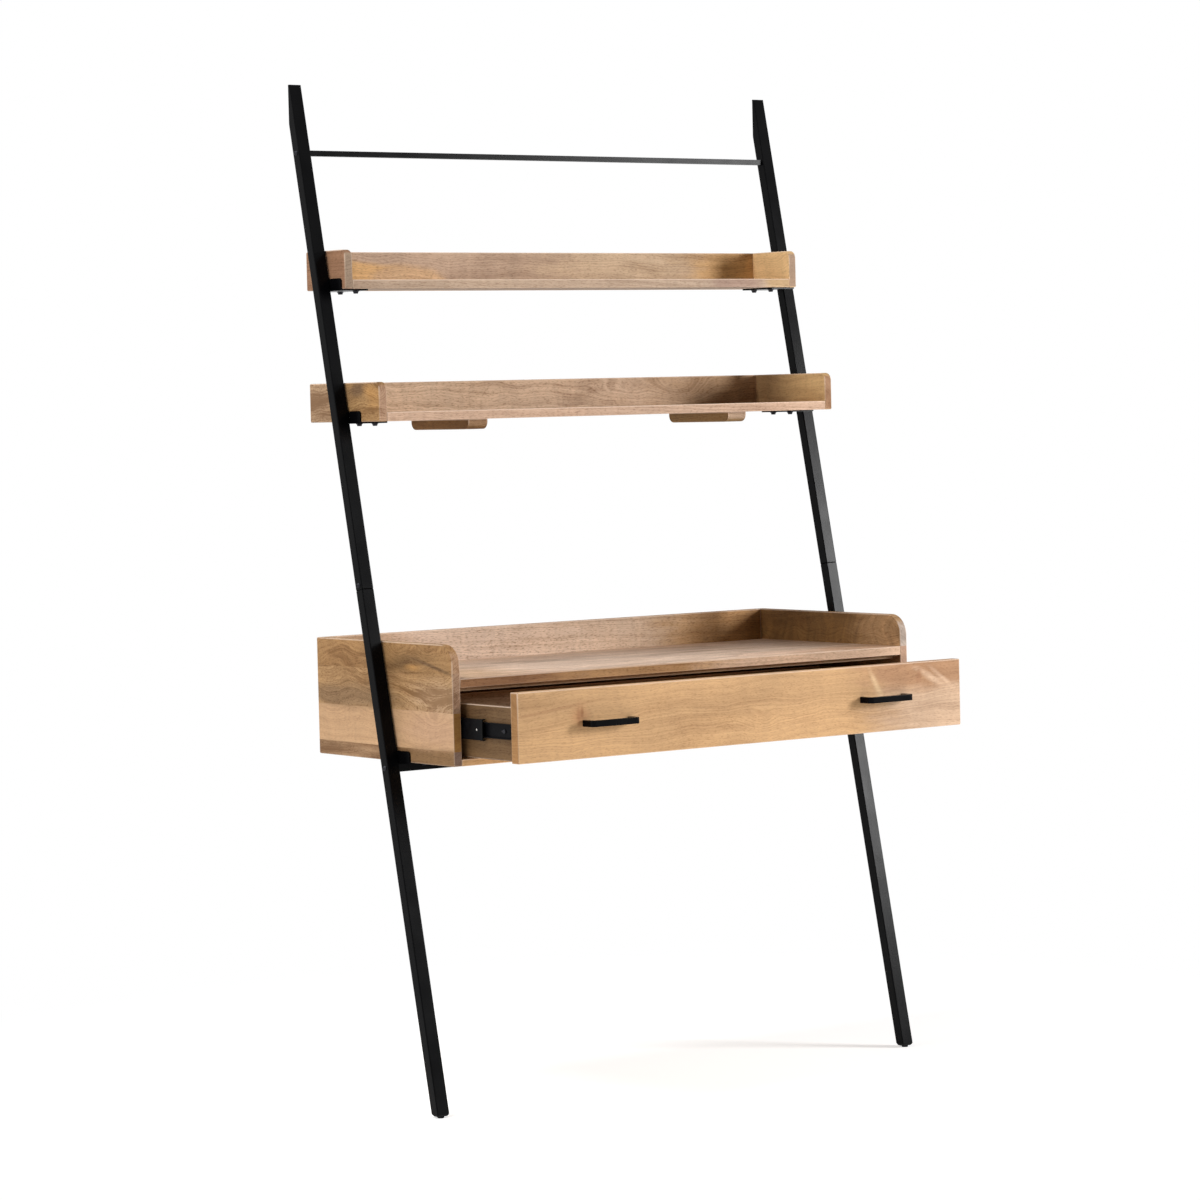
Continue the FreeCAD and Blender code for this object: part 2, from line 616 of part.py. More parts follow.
def handle_screw_holes():
    holes = [rod(HANDLE_SCREW_R + BOLT_EASE, V(x, FRONT_Y - 1, handle_z()), V(0, 1, 0), FRONT_T + 2)
             for x in handle_screw_xs()]
    return holes + [mirrored(h) for h in holes]


def handle_screws():
    made = []
    for x in handle_screw_xs():
        inner = V(x, BOX_Y, handle_z())
        shank = rod(HANDLE_SCREW_R, inner, V(0, -1, 0), FRONT_T + HANDLE_SCREW_BITE)
        head = rod(HANDLE_SCREW_HEAD_R, inner, V(0, 1, 0), HANDLE_SCREW_HEAD_H)
        made.append(shank.fuse(head).removeSplitter())
    return made + [mirrored(s) for s in made]


# ---- telescopic slides -----------------------------------------------------------------------
# Across a slide, u runs from the desk's side panel (u = 0) to the drawer's side (u = SLIDE_GAP).
# The middle member travels half as far as the drawer, and each ball cage half as far as the
# member that it lets roll.
GAP_BALL = 2 * (BALL_R + RUNNING)
MIDDLE_HALF = CABINET_MEMBER_H / 2 - STEEL - GAP_BALL
DRAWER_HALF = MIDDLE_HALF - STEEL - GAP_BALL


def drawer_slide_y():
    return SLIDE_Y - DRAWER_OPEN


def slide_box(u0, u1, y0, y1, v0, v1):
    """A box of the left slide, from its u, y and height above the slide's centre."""
    return box(-INNER_X + u0, -INNER_X + u1, y0, y1, SLIDE_Z + v0, SLIDE_Z + v1)


def channel(u_web, u_flange, half, y, length=SLIDE_LEN):
    """A member: a web and two flanges that run from the web to u_flange."""
    low, high = sorted((u_web, u_flange))
    solid = slide_box(low, high, y, y + length, -half, half)
    inner = half - STEEL
    if u_flange > u_web:
        hollow = slide_box(u_web + STEEL, u_flange + 1, y - 1, y + length + 1, -inner, inner)
    else:
        hollow = slide_box(u_flange - 1, u_web - STEEL, y - 1, y + length + 1, -inner, inner)
    return solid.cut(hollow)


def slide_screw_ys(y):
    return spread(y + SLIDE_SCREW_INSET, y + SLIDE_LEN - SLIDE_SCREW_INSET, 3)


def slide_screw_holes(x, into, y):
    """Holes from the face x into the wood, along -X or +X."""
    return [rod(SLIDE_SCREW_R + PILOT, V(x, sy, SLIDE_Z), V(into, 0, 0), SLIDE_SCREW_BITE + 1)
            for sy in slide_screw_ys(y)]


def slide_screws(x, into, y):
    """Screws through the web of a member that lies on the wooden face x."""
    made = []
    for sy in slide_screw_ys(y):
        seat = V(x - into * STEEL, sy, SLIDE_Z)
        shank = rod(SLIDE_SCREW_R, seat, V(into, 0, 0), STEEL + SLIDE_SCREW_BITE)
        head = rod(SLIDE_SCREW_HEAD_R, seat, V(-into, 0, 0), SLIDE_SCREW_HEAD_H)
        made.append(shank.fuse(head).removeSplitter())
    return made + [mirrored(s) for s in made]


def web_holes(x, into, y):
    return [rod(SLIDE_SCREW_R + PILOT, V(x + into, sy, SLIDE_Z), V(-into, 0, 0), STEEL + 2)
            for sy in slide_screw_ys(y)]


def cabinet_member():
    shape = channel(0, CABINET_FLANGE, CABINET_MEMBER_H / 2, SLIDE_Y)
    return shape.cut(web_holes(-INNER_X, -1, SLIDE_Y))


def middle_member():
    web = MIDDLE_FROM_PANEL
    y = SLIDE_Y + MIDDLE_SHORT - DRAWER_OPEN / 2
    return channel(web, web + MIDDLE_FLANGE, MIDDLE_HALF, y, SLIDE_LEN - MIDDLE_SHORT)


def drawer_member():
    shape = channel(SLIDE_GAP, SLIDE_GAP - DRAWER_FLANGE, DRAWER_HALF, drawer_slide_y())
    return shape.cut(web_holes(-BOX_X, 1, drawer_slide_y()))


def ball_cage(u, half, ball_u, moved):
    """A cage of the left slide: a U of thin sheet with a row of balls in each flange."""
    v = half + BALL_R + RUNNING
    ball_ys = [BALL_PITCH * (i - (BALLS - 1) / 2) for i in range(BALLS)]
    centre = SLIDE_Y + SLIDE_LEN / 2 - moved
    y0 = centre + ball_ys[0] - CAGE_END
    y1 = centre + ball_ys[-1] + CAGE_END
    t = CAGE_FLANGE_T / 2
    outer = slide_box(u, u + CAGE_FLANGE, y0, y1, -v - t, v + t)
    cage = outer.cut(slide_box(u + CAGE_SHEET, u + CAGE_FLANGE + 1, y0 - 1, y1 + 1, -v + t, v - t))
    balls = []
    pockets = []
    for side in (-1, 1):
        for dy in ball_ys:
            c = V(-INNER_X + ball_u, centre + dy, SLIDE_Z + side * v)
            balls.append(Part.makeSphere(BALL_R, c))
            pockets.append(rod(BALL_R + RUNNING, c - V(0, 0, 1), V(0, 0, 1), 2))
    return [cage.cut(pockets)] + balls


def outer_cage():
    u = MIDDLE_FROM_PANEL - CAGE_AHEAD - CAGE_SHEET
    return ball_cage(u, MIDDLE_HALF, u + CAGE_FLANGE - BALL_R - CAGE_LIP, DRAWER_OPEN / 4)


def inner_cage():
    u = MIDDLE_FROM_PANEL + STEEL + CAGE_AHEAD
    return ball_cage(u, DRAWER_HALF, u + CAGE_FLANGE - BALL_R - CAGE_LIP, DRAWER_OPEN * 3 / 4)


def make_slides():
    save_pair("slide_cabinet_member", [cabinet_member()])
    save_pair("slide_middle_member", [middle_member()])
    save_pair("slide_drawer_member", [drawer_member()])
    save_pair("slide_outer_ball_cage", outer_cage())
    save_pair("slide_inner_ball_cage", inner_cage())
    save("slide_screws_in_desk", slide_screws(-INNER_X, -1, SLIDE_Y))
    save("slide_screws_in_drawer", slide_screws(-BOX_X, 1, drawer_slide_y()))


# ---- everything ------------------------------------------------------------------------------
def save_pair(name, solids):
    save("left_" + name, solids)
    save("right_" + name, [mirrored(s) for s in solids])


def make_frame():
    save_pair("lower_leg", [lower_leg()])
    save_pair("upper_leg", [upper_leg()])
    save_pair("leg_connector", [leg_connector()])
    save("leg_connector_screws", both(connector_screw()))
    save("wall_plates", both(wall_plate()))
    save_pair("leg_end_cap", [leg_end_cap()])
    save_pair("levelling_foot", [levelling_foot()])
    save("top_rail", top_rail())
    save("top_rail_bolts", through_bolts(RAIL_Z))
    save("crossbar", crossbar())
    save("crossbar_end_plugs", crossbar_plugs())
    save("crossbar_bolts", through_bolts(CROSSBAR_Z))


def make_brackets():
    screws = []
    for name, z in (("upper_shelf", UPPER_Z), ("lower_shelf", LOWER_Z), ("desk", DESK_Z)):
        save(name + "_brackets", both(bracket(z)))
        for point in bracket_screw_points(z):
            screws += both(bracket_screw(point))
    save("bracket_screws", screws)


def main():
    os.makedirs("parts", exist_ok=True)
    make_frame()
    make_brackets()
    dowels = make_shelf("upper_shelf", UPPER_DEPTH, UPPER_Z)
    dowels += make_shelf("lower_shelf", LOWER_DEPTH, LOWER_Z)
    dowels += make_desk()
    save("case_dowels", dowels)
    save_pair("lower_shelf_batten", [batten()])
    make_drawer()
    save_pair("drawer_handle", [handle()])
    save("handle_screws", handle_screws())
    make_slides()


main()
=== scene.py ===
# %% [markdown]
# # A leaning ladder desk in mango wood and black steel
# The real desk is two sloping steel legs that lean on a wall, two tray shelves and a desk box with one
# drawer. Its construction is already modelled, so this script loads it as a fixed frame and gives every
# piece its surface. A mesh is only made here where the frame can't hold the detail.

# %% Load the frame
import bmesh
import bpy
import math
from mathutils import Matrix, Vector


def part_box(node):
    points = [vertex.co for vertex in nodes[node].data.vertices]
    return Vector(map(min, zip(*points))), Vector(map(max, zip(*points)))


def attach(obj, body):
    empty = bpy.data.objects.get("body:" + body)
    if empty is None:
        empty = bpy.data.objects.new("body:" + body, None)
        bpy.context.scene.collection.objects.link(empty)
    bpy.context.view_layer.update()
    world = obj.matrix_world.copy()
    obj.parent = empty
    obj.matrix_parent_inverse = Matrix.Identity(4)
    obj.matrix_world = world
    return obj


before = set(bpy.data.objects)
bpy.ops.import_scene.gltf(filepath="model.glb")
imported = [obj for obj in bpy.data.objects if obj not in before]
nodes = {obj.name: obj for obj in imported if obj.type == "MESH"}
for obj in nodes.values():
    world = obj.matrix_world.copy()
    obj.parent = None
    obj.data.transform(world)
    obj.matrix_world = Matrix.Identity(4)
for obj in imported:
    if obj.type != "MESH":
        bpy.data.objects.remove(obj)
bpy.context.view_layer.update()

# %% [markdown]
# ## The camera
# A long lens far away keeps the legs nearly parallel. The camera stands to the left of the desk at chest
# height and looks slightly down. Yaw turns it, pitch tips it and a small roll levels the view.

# %% Camera
SENSOR_MM = 36.0
LENS_MM = 119.58
CLIP_END = 50.0
CAMERA_AT = Vector((-4.3451, -5.7076, 1.2288))
YAW, PITCH, ROLL = (math.radians(a) for a in (-36.586, -2.893, -1.383))


def camera_turn(yaw, pitch, roll):
    """Rotation of a camera that looks along +Y, turned about Z, then tipped and rolled."""
    ahead = Vector((-math.sin(yaw) * math.cos(pitch), math.cos(yaw) * math.cos(pitch), math.sin(pitch)))
    level = ahead.cross(Vector((0, 0, 1))).normalized()
    above = level.cross(ahead)
    right = level * math.cos(roll) + above * math.sin(roll)
    return Matrix((right, right.cross(ahead), -ahead)).transposed()


camera = bpy.data.objects.new("camera", bpy.data.cameras.new("camera"))
camera.data.lens = LENS_MM
camera.data.sensor_width = SENSOR_MM
camera.data.clip_end = CLIP_END
camera.matrix_world = Matrix.Translation(CAMERA_AT) @ camera_turn(YAW, PITCH, ROLL).to_4x4()
bpy.context.scene.collection.objects.link(camera)
bpy.context.scene.camera = camera
print("camera at", tuple(round(c, 2) for c in CAMERA_AT))

# %% [markdown]
# ## Colours
# Paint and wood colours are easiest to think of as sRGB hex values, but shaders work in linear light, so
# one small function turns the first into the second.

# %% Colours
WHITE = (1.0, 1.0, 1.0, 1.0)


def linear(hex_colour):
    """An sRGB hex colour as linear RGBA."""
    srgb = [int(hex_colour[i:i + 2], 16) / 255 for i in (1, 3, 5)]
    return tuple(c / 12.92 if c <= 0.04045 else ((c + 0.055) / 1.055) ** 2.4 for c in srgb) + (1.0,)


print("mango tan in linear light:", tuple(round(c, 3) for c in linear("#CDA681")[:3]))

# %% [markdown]
# ## Nodes and materials
# Materials are built from nodes in code. One function adds any node, sets its options and links or fills
# its inputs. A link may name a node, which stands for its first enabled output, or one of its outputs. A
# Mix node has hidden sockets for other kinds of data, so its colour sockets are named by their numbers.

# %% Nodes and materials
MIX_A, MIX_B, MIX_RESULT = 6, 7, 2


def shown_output(node):
    """The first output that the node's settings leave enabled."""
    return next(out for out in node.outputs if out.enabled)


def add(tree, kind, settings=None, inputs=None):
    """Add a node with its settings, and link or fill its inputs."""
    node = tree.nodes.new(kind if kind.startswith("NodeGroup") else "ShaderNode" + kind)
    for name, value in (settings or {}).items():
        setattr(node, name, value)
    for key, value in (inputs or {}).items():
        if isinstance(value, bpy.types.Node):
            value = shown_output(value)
        if isinstance(value, bpy.types.NodeSocket):
            tree.links.new(value, node.inputs[key])
        else:
            node.inputs[key].default_value = value
    return node


def stops(ramp, points, interpolation="LINEAR"):
    """Give a colour ramp its colours, as (place, RGBA)."""
    band = ramp.color_ramp
    band.interpolation = interpolation
    while len(band.elements) > 1:
        band.elements.remove(band.elements[-1])
    for i, (place, colour) in enumerate(points):
        element = band.elements[0] if i == 0 else band.elements.new(place)
        element.position = place
        element.color = colour
    return ramp


def new_material(name):
    """An empty node material."""
    material = bpy.data.materials.new(name)
    material.use_nodes = True
    material.node_tree.nodes.clear()
    return material


def wear(node_name, material):
    """Give a CAD node one material all over."""
    piece = nodes[node_name]
    piece.data.materials.clear()
    piece.data.materials.append(material)


print("nodes that need a finish:", len(nodes))

# %% [markdown]
# ## Mango wood
# Every board is solid mango, sawn, glued from staves, sanded and rubbed with a thin oil. Mango grows fast,
# so its rings are wide and faint. Its colour wanders from pinkish tan to grey-brown inside one plank, with
# short dark pores and now and then a curl or a knot. A flat image wrapped on a box would break at every
# edge, so the grain is worked out in three dimensions from the place in the board: rings around a pith that
# lies beside the board, bent by slow noise. The same rings then meet on faces, edges and end grain. One
# node group holds the figure. Its input is a place in metres, along, across and through the wood.

# %% The group of the figure
PER_MM = 1000.0            # a noise scale in waves per metre, from the length of a wave in millimetres

figure_tree = bpy.data.node_groups.new("mango figure", "ShaderNodeTree")
figure_tree.interface.new_socket("Place", in_out="INPUT", socket_type="NodeSocketVector")
for name in ("Seed", "Bend", "Curl", "Bulge"):
    figure_tree.interface.new_socket(name, in_out="INPUT", socket_type="NodeSocketFloat")
for name in ("Rings", "Streaks", "Pores", "Ripple", "Clouds"):
    figure_tree.interface.new_socket(name, in_out="OUTPUT", socket_type="NodeSocketFloat")
given = add(figure_tree, "NodeGroupInput")
results = add(figure_tree, "NodeGroupOutput")
seed = given.outputs["Seed"]
print("the figure takes", [socket.name for socket in given.outputs if socket.name])

# %% [markdown]
# ## Bends and curls
# Every stave is cut from another place in the tree, so its seed moves it far away in the noise. The trunk
# bends slowly, and the fibres curl where a branch was near. Both push the place aside before anything is
# drawn, so rings, streaks and pores all follow the same fibres, as they do in a tree. Each wave is long
# along the wood and shorter across it.

# %% Bends and curls
CUT_STEP = (3.71, 1.37, 2.11)             # metres in the noise for each unit of the seed
MIDDLE_GREY = (0.5, 0.5, 0.5)             # the noise runs from 0 to 1, so this centres it
BEND_MM = (625.0, 142.857, 142.857)       # a wave along, across and through the wood
CURL_MM = (111.111, 76.923, 76.923)

cut_at = add(figure_tree, "CombineXYZ", None, {0: seed, 1: seed, 2: seed})
moved = add(figure_tree, "VectorMath", {"operation": "MULTIPLY_ADD"},
            {0: cut_at, 1: CUT_STEP, 2: given.outputs["Place"]})
pushed = given.outputs["Place"]
for name, wave_mm, detail in (("Bend", BEND_MM, 3.0), ("Curl", CURL_MM, 1.5)):
    waves = add(figure_tree, "VectorMath", {"operation": "MULTIPLY"},
                {0: moved, 1: [PER_MM / mm for mm in wave_mm]})
    push = add(figure_tree, "TexNoise", {"noise_dimensions": "3D"},
               {"Vector": waves, "Scale": 1.0, "Detail": detail, "Roughness": 0.45})
    push = add(figure_tree, "VectorMath", {"operation": "SUBTRACT"},
               {0: push.outputs["Color"], 1: MIDDLE_GREY})
    push = add(figure_tree, "VectorMath", {"operation": "SCALE"}, {0: push, "Scale": given.outputs[name]})
    pushed = add(figure_tree, "VectorMath", {"operation": "ADD"}, {0: pushed, 1: push})
fibre = add(figure_tree, "VectorMath", {"operation": "MULTIPLY_ADD"}, {0: cut_at, 1: CUT_STEP, 2: pushed})
print("bends", BEND_MM[0], "mm long, curls", CURL_MM[0], "mm long")

# %% [markdown]
# ## Rings
# A tree grows in rings around its pith. The pith lies beside each board, a little aslant because a trunk
# tapers, and to one side or the other as the seed says. The distance to it, counted in rings, drives two
# noises in one dimension: wide soft rings and the fine lines inside them. That gives cathedral arches on
# a flat face, straight lines on an edge and arcs on the end grain.

# %% Rings
RING_MM = 7.0              # a ring of fast-grown mango
FINE_RING_MM = 2.4         # fine lines in a ring; drawn coarser than the real 0.5 mm so that they show
PITH_SWING_RATE = 12.9     # large, so that seeds close together still swing the pith apart
PITH_SWING = 0.05          # metres to either side
PITH_SLANT = 0.045
PITH_DEPTH = 0.075         # metres from the board

xyz = add(figure_tree, "SeparateXYZ", None, {0: pushed})
turn = add(figure_tree, "Math", {"operation": "MULTIPLY"}, {0: seed, 1: PITH_SWING_RATE})
swing = add(figure_tree, "Math", {"operation": "SINE"}, {0: turn})
beside = add(figure_tree, "Math", {"operation": "MULTIPLY_ADD"},
             {0: swing, 1: PITH_SWING, 2: xyz.outputs["Y"]})
depth = add(figure_tree, "Math", {"operation": "MULTIPLY_ADD"},
            {0: xyz.outputs["X"], 1: PITH_SLANT, 2: xyz.outputs["Z"]})
depth = add(figure_tree, "Math", {"operation": "ADD"}, {0: depth, 1: PITH_DEPTH})
to_pith = add(figure_tree, "CombineXYZ", None, {0: beside, 1: depth})
radius = add(figure_tree, "VectorMath", {"operation": "LENGTH"}, {0: to_pith}).outputs["Value"]
radius = add(figure_tree, "Math", {"operation": "ADD"}, {0: radius, 1: given.outputs["Bulge"]})
layers = []
for ring_mm, detail in ((RING_MM, 2.0), (FINE_RING_MM, 1.0)):
    count = add(figure_tree, "Math", {"operation": "MULTIPLY_ADD"}, {0: radius, 1: PER_MM / ring_mm, 2: seed})
    layers.append(add(figure_tree, "TexNoise", {"noise_dimensions": "1D"},
                      {"W": count, "Scale": 1.0, "Detail": detail, "Roughness": 0.5}))
wide, fine = layers
rings = add(figure_tree, "Mix", {"data_type": "FLOAT"}, {"Factor": 0.5, "A": wide, "B": fine})
print("rings", RING_MM, "mm wide, fine lines", FINE_RING_MM, "mm")

# %% [markdown]
# ## Streaks, clouds, pores and ripple
# Brown heartwood runs in long soft streaks, and clouds are broad patches where the wood is greyer or
# warmer. Pores are vessels cut open by the saw: short dark dashes along the fibres. Ripple is a row of
# bands across the grain where the fibres rise and fall. All four are noise stretched along the fibres,
# each by its own size, so a loop makes them.

# %% Streaks, clouds, pores and ripple
STREAK_MM = (285.714, 33.3333, 33.3333)   # along, across and through the wood
CLOUD_MM = (250.0, 90.909, 90.909)
PORE_MM = (7.0, 1.5, 1.5)                 # a pore is 0.2 mm wide; drawn coarser so that it shows
RIPPLE_MM = (13.0, 111.111, 111.111)

figures = {"Rings": rings}
for name, wave_mm, detail, roughness in (("Streaks", STREAK_MM, 4.0, 0.6), ("Clouds", CLOUD_MM, 3.0, 0.55),
                                         ("Pores", PORE_MM, 1.0, 0.5), ("Ripple", RIPPLE_MM, 2.0, 0.5)):
    waves = add(figure_tree, "VectorMath", {"operation": "MULTIPLY"},
                {0: fibre, 1: [PER_MM / mm for mm in wave_mm]})
    figures[name] = add(figure_tree, "TexNoise", {"noise_dimensions": "3D"},
                        {"Vector": waves, "Scale": 1.0, "Detail": detail, "Roughness": roughness})
figures["Pores"] = add(figure_tree, "MapRange", {"interpolation_type": "SMOOTHSTEP"},
                       {"Value": figures["Pores"], "From Min": 0.50, "From Max": 0.70})
for name, source in figures.items():
    figure_tree.links.new(shown_output(source), results.inputs[name])
print("figure group:", len(figure_tree.nodes), "nodes")

# %% [markdown]
# ## The staves of a board
# A board is one to four staves glued edge to edge, so its colour and its figure change at straight glue
# lines. Colour ramps with constant steps across the board hold what belongs to each stave: the colour of
# its faces, the colour of its end grain, and its cut. The cut packs four numbers into one colour: where it
# was cut in the tree, how streaky it is, how much it curls and how strong its figure is.

# %% Staves
SEED_SPAN = 20.0           # a ramp holds 0 to 1, and the seeds run over this span
CURL_SPAN = 0.1            # metres


def place_in_board(tree, coords, grain, across):
    """The place in metres along, across and through a board, and its separate X, Y and Z."""
    through = ({"X", "Y", "Z"} - {grain, across}).pop()
    xyz = add(tree, "SeparateXYZ", None, {0: coords.outputs["Object"]})
    place = add(tree, "CombineXYZ", None,
                {0: xyz.outputs[grain], 1: xyz.outputs[across], 2: xyz.outputs[through]})
    return place, xyz


def stave_ramps(tree, staves, height, low, high):
    """Three ramps over a height from low to high: colours of the faces, of the end grain, and the cuts."""
    at = add(tree, "MapRange", None, {"Value": height, "From Min": low, "From Max": high})
    starts = [stave[0] / (high - low) for stave in staves]
    faces = [linear(stave[1]) for stave in staves]
    ends = [linear(stave[2]) for stave in staves]
    cuts = [stave[3:7] for stave in staves]
    return [stops(add(tree, "ValToRGB", None, {0: at}), zip(starts, values), "CONSTANT")
            for values in (faces, ends, cuts)]


print("seeds span", SEED_SPAN, "curl up to", CURL_SPAN, "m")

# %% [markdown]
# ## Blushes and painted light
# Inside one stave the colour runs from pale sapwood to brown heartwood. A blush is an ellipse of another
# colour laid over the stave, with its edge frayed by slow noise. Painting a few ellipses is quicker to
# steer than hunting for a noise that happens to be dark in the right place. Some ellipses are not wood but
# painted light and shade: a painted reflection on the writing board, and painted light and shade along the
# backs and beside the right sides.

# %% Blushes and painted light
FRAY_MM = (62.5, 16.6667, 16.6667)


def lay_blushes_and_painted_light(tree, tone, place, corner, blushes_and_painted_light):
    """Lay the blushes, with the painted light and shade among them, over a tone, in their order, counted from
    the board's low corner.
    """
    waves = add(tree, "VectorMath", {"operation": "MULTIPLY"}, {0: place, 1: [PER_MM / mm for mm in FRAY_MM]})
    fray = add(tree, "TexNoise", {"noise_dimensions": "3D"}, {"Vector": waves, "Detail": 3.0, "Scale": 1.0})
    fray = add(tree, "MapRange", None, {"Value": fray, "To Min": -1.0, "To Max": 1.0})
    for along, across, half_length, half_height, colour, slant, soft in blushes_and_painted_light:
        away = add(tree, "VectorMath", {"operation": "SUBTRACT"},
                   {0: place, 1: (corner[0] + along, corner[1] + across, 0.0)})
        away = add(tree, "SeparateXYZ", None, {0: away})
        level = add(tree, "Math", {"operation": "MULTIPLY_ADD"},
                    {0: away.outputs["X"], 1: -slant, 2: away.outputs["Y"]})
        rounded = add(tree, "CombineXYZ", None,
                      {0: add(tree, "Math", {"operation": "DIVIDE"}, {0: away.outputs["X"], 1: half_length}),
                       1: add(tree, "Math", {"operation": "DIVIDE"}, {0: level, 1: half_height})})
        far = add(tree, "VectorMath", {"operation": "LENGTH"}, {0: rounded}).outputs["Value"]
        far = add(tree, "Math", {"operation": "MULTIPLY_ADD"}, {0: fray, 1: soft, 2: far})
        inside = add(tree, "MapRange", {"interpolation_type": "SMOOTHSTEP"},
                     {"Value": far, "From Min": 1.0 + soft, "From Max": 1.0 - soft})
        tone = add(tree, "Mix", {"data_type": "RGBA"}, {0: inside, MIX_A: tone, MIX_B: linear(colour)})
        tone = tone.outputs[MIX_RESULT]
    return tone


print("a blush frays by waves of", FRAY_MM[0], "mm along and", round(FRAY_MM[1], 1), "mm across")

# %% [markdown]
# ## Knots
# A knot is the foot of a branch. The rings swell around it and its heart is dark. Adding a smooth hill to
# the distance from the pith bends the rings around it. A hill without a dark heart is a swirl, which shows
# where a branch ended just under the surface.

# %% Knots
KNOT_SQUEEZE = 0.45        # a knot's swirl is drawn out along the grain, so its length counts less
HILL_REACH = 3.4           # in radii of the knot
HILL_HEIGHT = 1.7          # in radii of the knot
HEART_REACH, HEART_CORE = 1.1, 0.2


def push_rings(tree, place, corner, knots):
    """How far the knots push the rings out, in metres, and how dark their hearts are."""
    bulge = 0.0
    darkest = None
    for along, across, radius, heart in knots:
        away = add(tree, "VectorMath", {"operation": "SUBTRACT"},
                   {0: place, 1: (corner[0] + along, corner[1] + across, 0.0)})
        away = add(tree, "VectorMath", {"operation": "MULTIPLY"},
                   {0: away, 1: (KNOT_SQUEEZE / radius, 1.0 / radius, 0.0)})
        far = add(tree, "VectorMath", {"operation": "LENGTH"}, {0: away}).outputs["Value"]
        hill = add(tree, "MapRange", {"interpolation_type": "SMOOTHSTEP"},
                   {"Value": far, "From Min": HILL_REACH, "From Max": 0.0, "To Max": HILL_HEIGHT * radius})
        bulge = add(tree, "Math", {"operation": "ADD"}, {0: hill, 1: bulge})
        core = add(tree, "MapRange", {"interpolation_type": "SMOOTHSTEP"},
                   {"Value": far, "From Min": HEART_REACH, "From Max": HEART_CORE, "To Max": heart})
        if darkest:
            core = add(tree, "Math", {"operation": "MAXIMUM"}, {0: core, 1: darkest})
        darkest = core
    return bulge, darkest


print("a knot bends the rings out to", HILL_REACH, "radii")

# %% [markdown]
# ## Light and dark in the wood
# The figure darkens the wood by a factor, and not by a colour of its own, so it looks right on a pale and
# on a brown stave. Rings and pores count as strongly as the stave's cut says, streaks are added, and a
# knot's heart covers all of them. Ripple and clouds only lift or lower the light a little.

# %% Light and dark
DARK_FIGURE = (0.46, 0.39, 0.33, 1.0)     # how much light the darkest figure leaves, in linear light
RINGS_FROM, RINGS_TO = 0.38, 0.64         # the part of each noise that is used
STREAKS_FROM, STREAKS_TO = 0.45, 0.7
SWELL_FROM, SWELL_TO = 0.3, 0.7


def darkness(tree, figure, cut_ramp, streakiness, rings, pores, heart):
    """How dark the figure is, from 0 to 1."""
    ring_tone = add(tree, "MapRange", None,
                    {"Value": figure.outputs["Rings"], "From Min": RINGS_FROM, "From Max": RINGS_TO,
                     "To Max": rings})
    streaks = add(tree, "MapRange", {"interpolation_type": "SMOOTHSTEP"},
                  {"Value": figure.outputs["Streaks"], "From Min": STREAKS_FROM, "From Max": STREAKS_TO})
    lines = add(tree, "Math", {"operation": "MULTIPLY_ADD"},
                {0: figure.outputs["Pores"], 1: pores, 2: ring_tone})
    lines = add(tree, "Math", {"operation": "MULTIPLY"}, {0: lines, 1: cut_ramp.outputs["Alpha"]})
    dark = add(tree, "Math", {"operation": "MULTIPLY_ADD", "use_clamp": True},
               {0: streaks, 1: streakiness, 2: lines})
    if heart:
        dark = add(tree, "Math", {"operation": "MAXIMUM"}, {0: dark, 1: heart})
    return dark


def shade(tree, figure, dark, ripple, clouds):
    """The factor that the figure leaves of the wood's colour."""
    light = add(tree, "Mix", {"data_type": "RGBA"}, {0: dark, MIX_A: WHITE, MIX_B: DARK_FIGURE})
    light = light.outputs[MIX_RESULT]
    for name, swing in (("Ripple", ripple), ("Clouds", clouds)):
        swell = add(tree, "MapRange", None,
                    {"Value": figure.outputs[name], "From Min": SWELL_FROM, "From Max": SWELL_TO,
                     "To Min": 1.0 - swing, "To Max": 1.0 + swing})
        light = add(tree, "VectorMath", {"operation": "SCALE"}, {0: light, "Scale": swell})
    return light


print("the darkest figure leaves", DARK_FIGURE[0], "of the red light")

# %% [markdown]
# ## End grain and arrises
# End grain drinks more oil, so it comes out darker and duller; the surface normal tells where it is. The
# arrises, where two faces meet, are sanded round and the oil is thin there, so a pale line is painted on
# them: partly the sanded wood, and partly a painted highlight where light catches the rounding. The middle
# one of the three distances to a box's faces is the distance to its nearest arris. The painted highlight is
# strongest at the top of a board and faint in its lower half, where little light catches them.

# %% End grain and arrises
END_GRAIN_FROM, END_GRAIN_TO = 0.6, 0.95  # how squarely a surface must cut the fibres
ARRIS = 0.0024                            # width of the edges that were sanded round
ARRIS_CORE = 0.4                          # the part of that width that is palest
# painted highlight: tone and share of the pale arris lines, lighter at the top because light falls from above
ARRIS_HIGHLIGHT_TONE = "#EBD2BC"
ARRIS_HIGHLIGHT_SHARE = 0.5
LOW_ARRIS_HIGHLIGHT_SHARE = 0.3 * ARRIS_HIGHLIGHT_SHARE


def end_grain_mask(tree, coords, grain):
    """1 where the surface cuts across the fibres."""
    normal = add(tree, "SeparateXYZ", None, {0: coords.outputs["Normal"]})
    facing = add(tree, "Math", {"operation": "ABSOLUTE"}, {0: normal.outputs[grain]})
    return add(tree, "MapRange", {"interpolation_type": "SMOOTHSTEP"},
               {"Value": facing, "From Min": END_GRAIN_FROM, "From Max": END_GRAIN_TO})


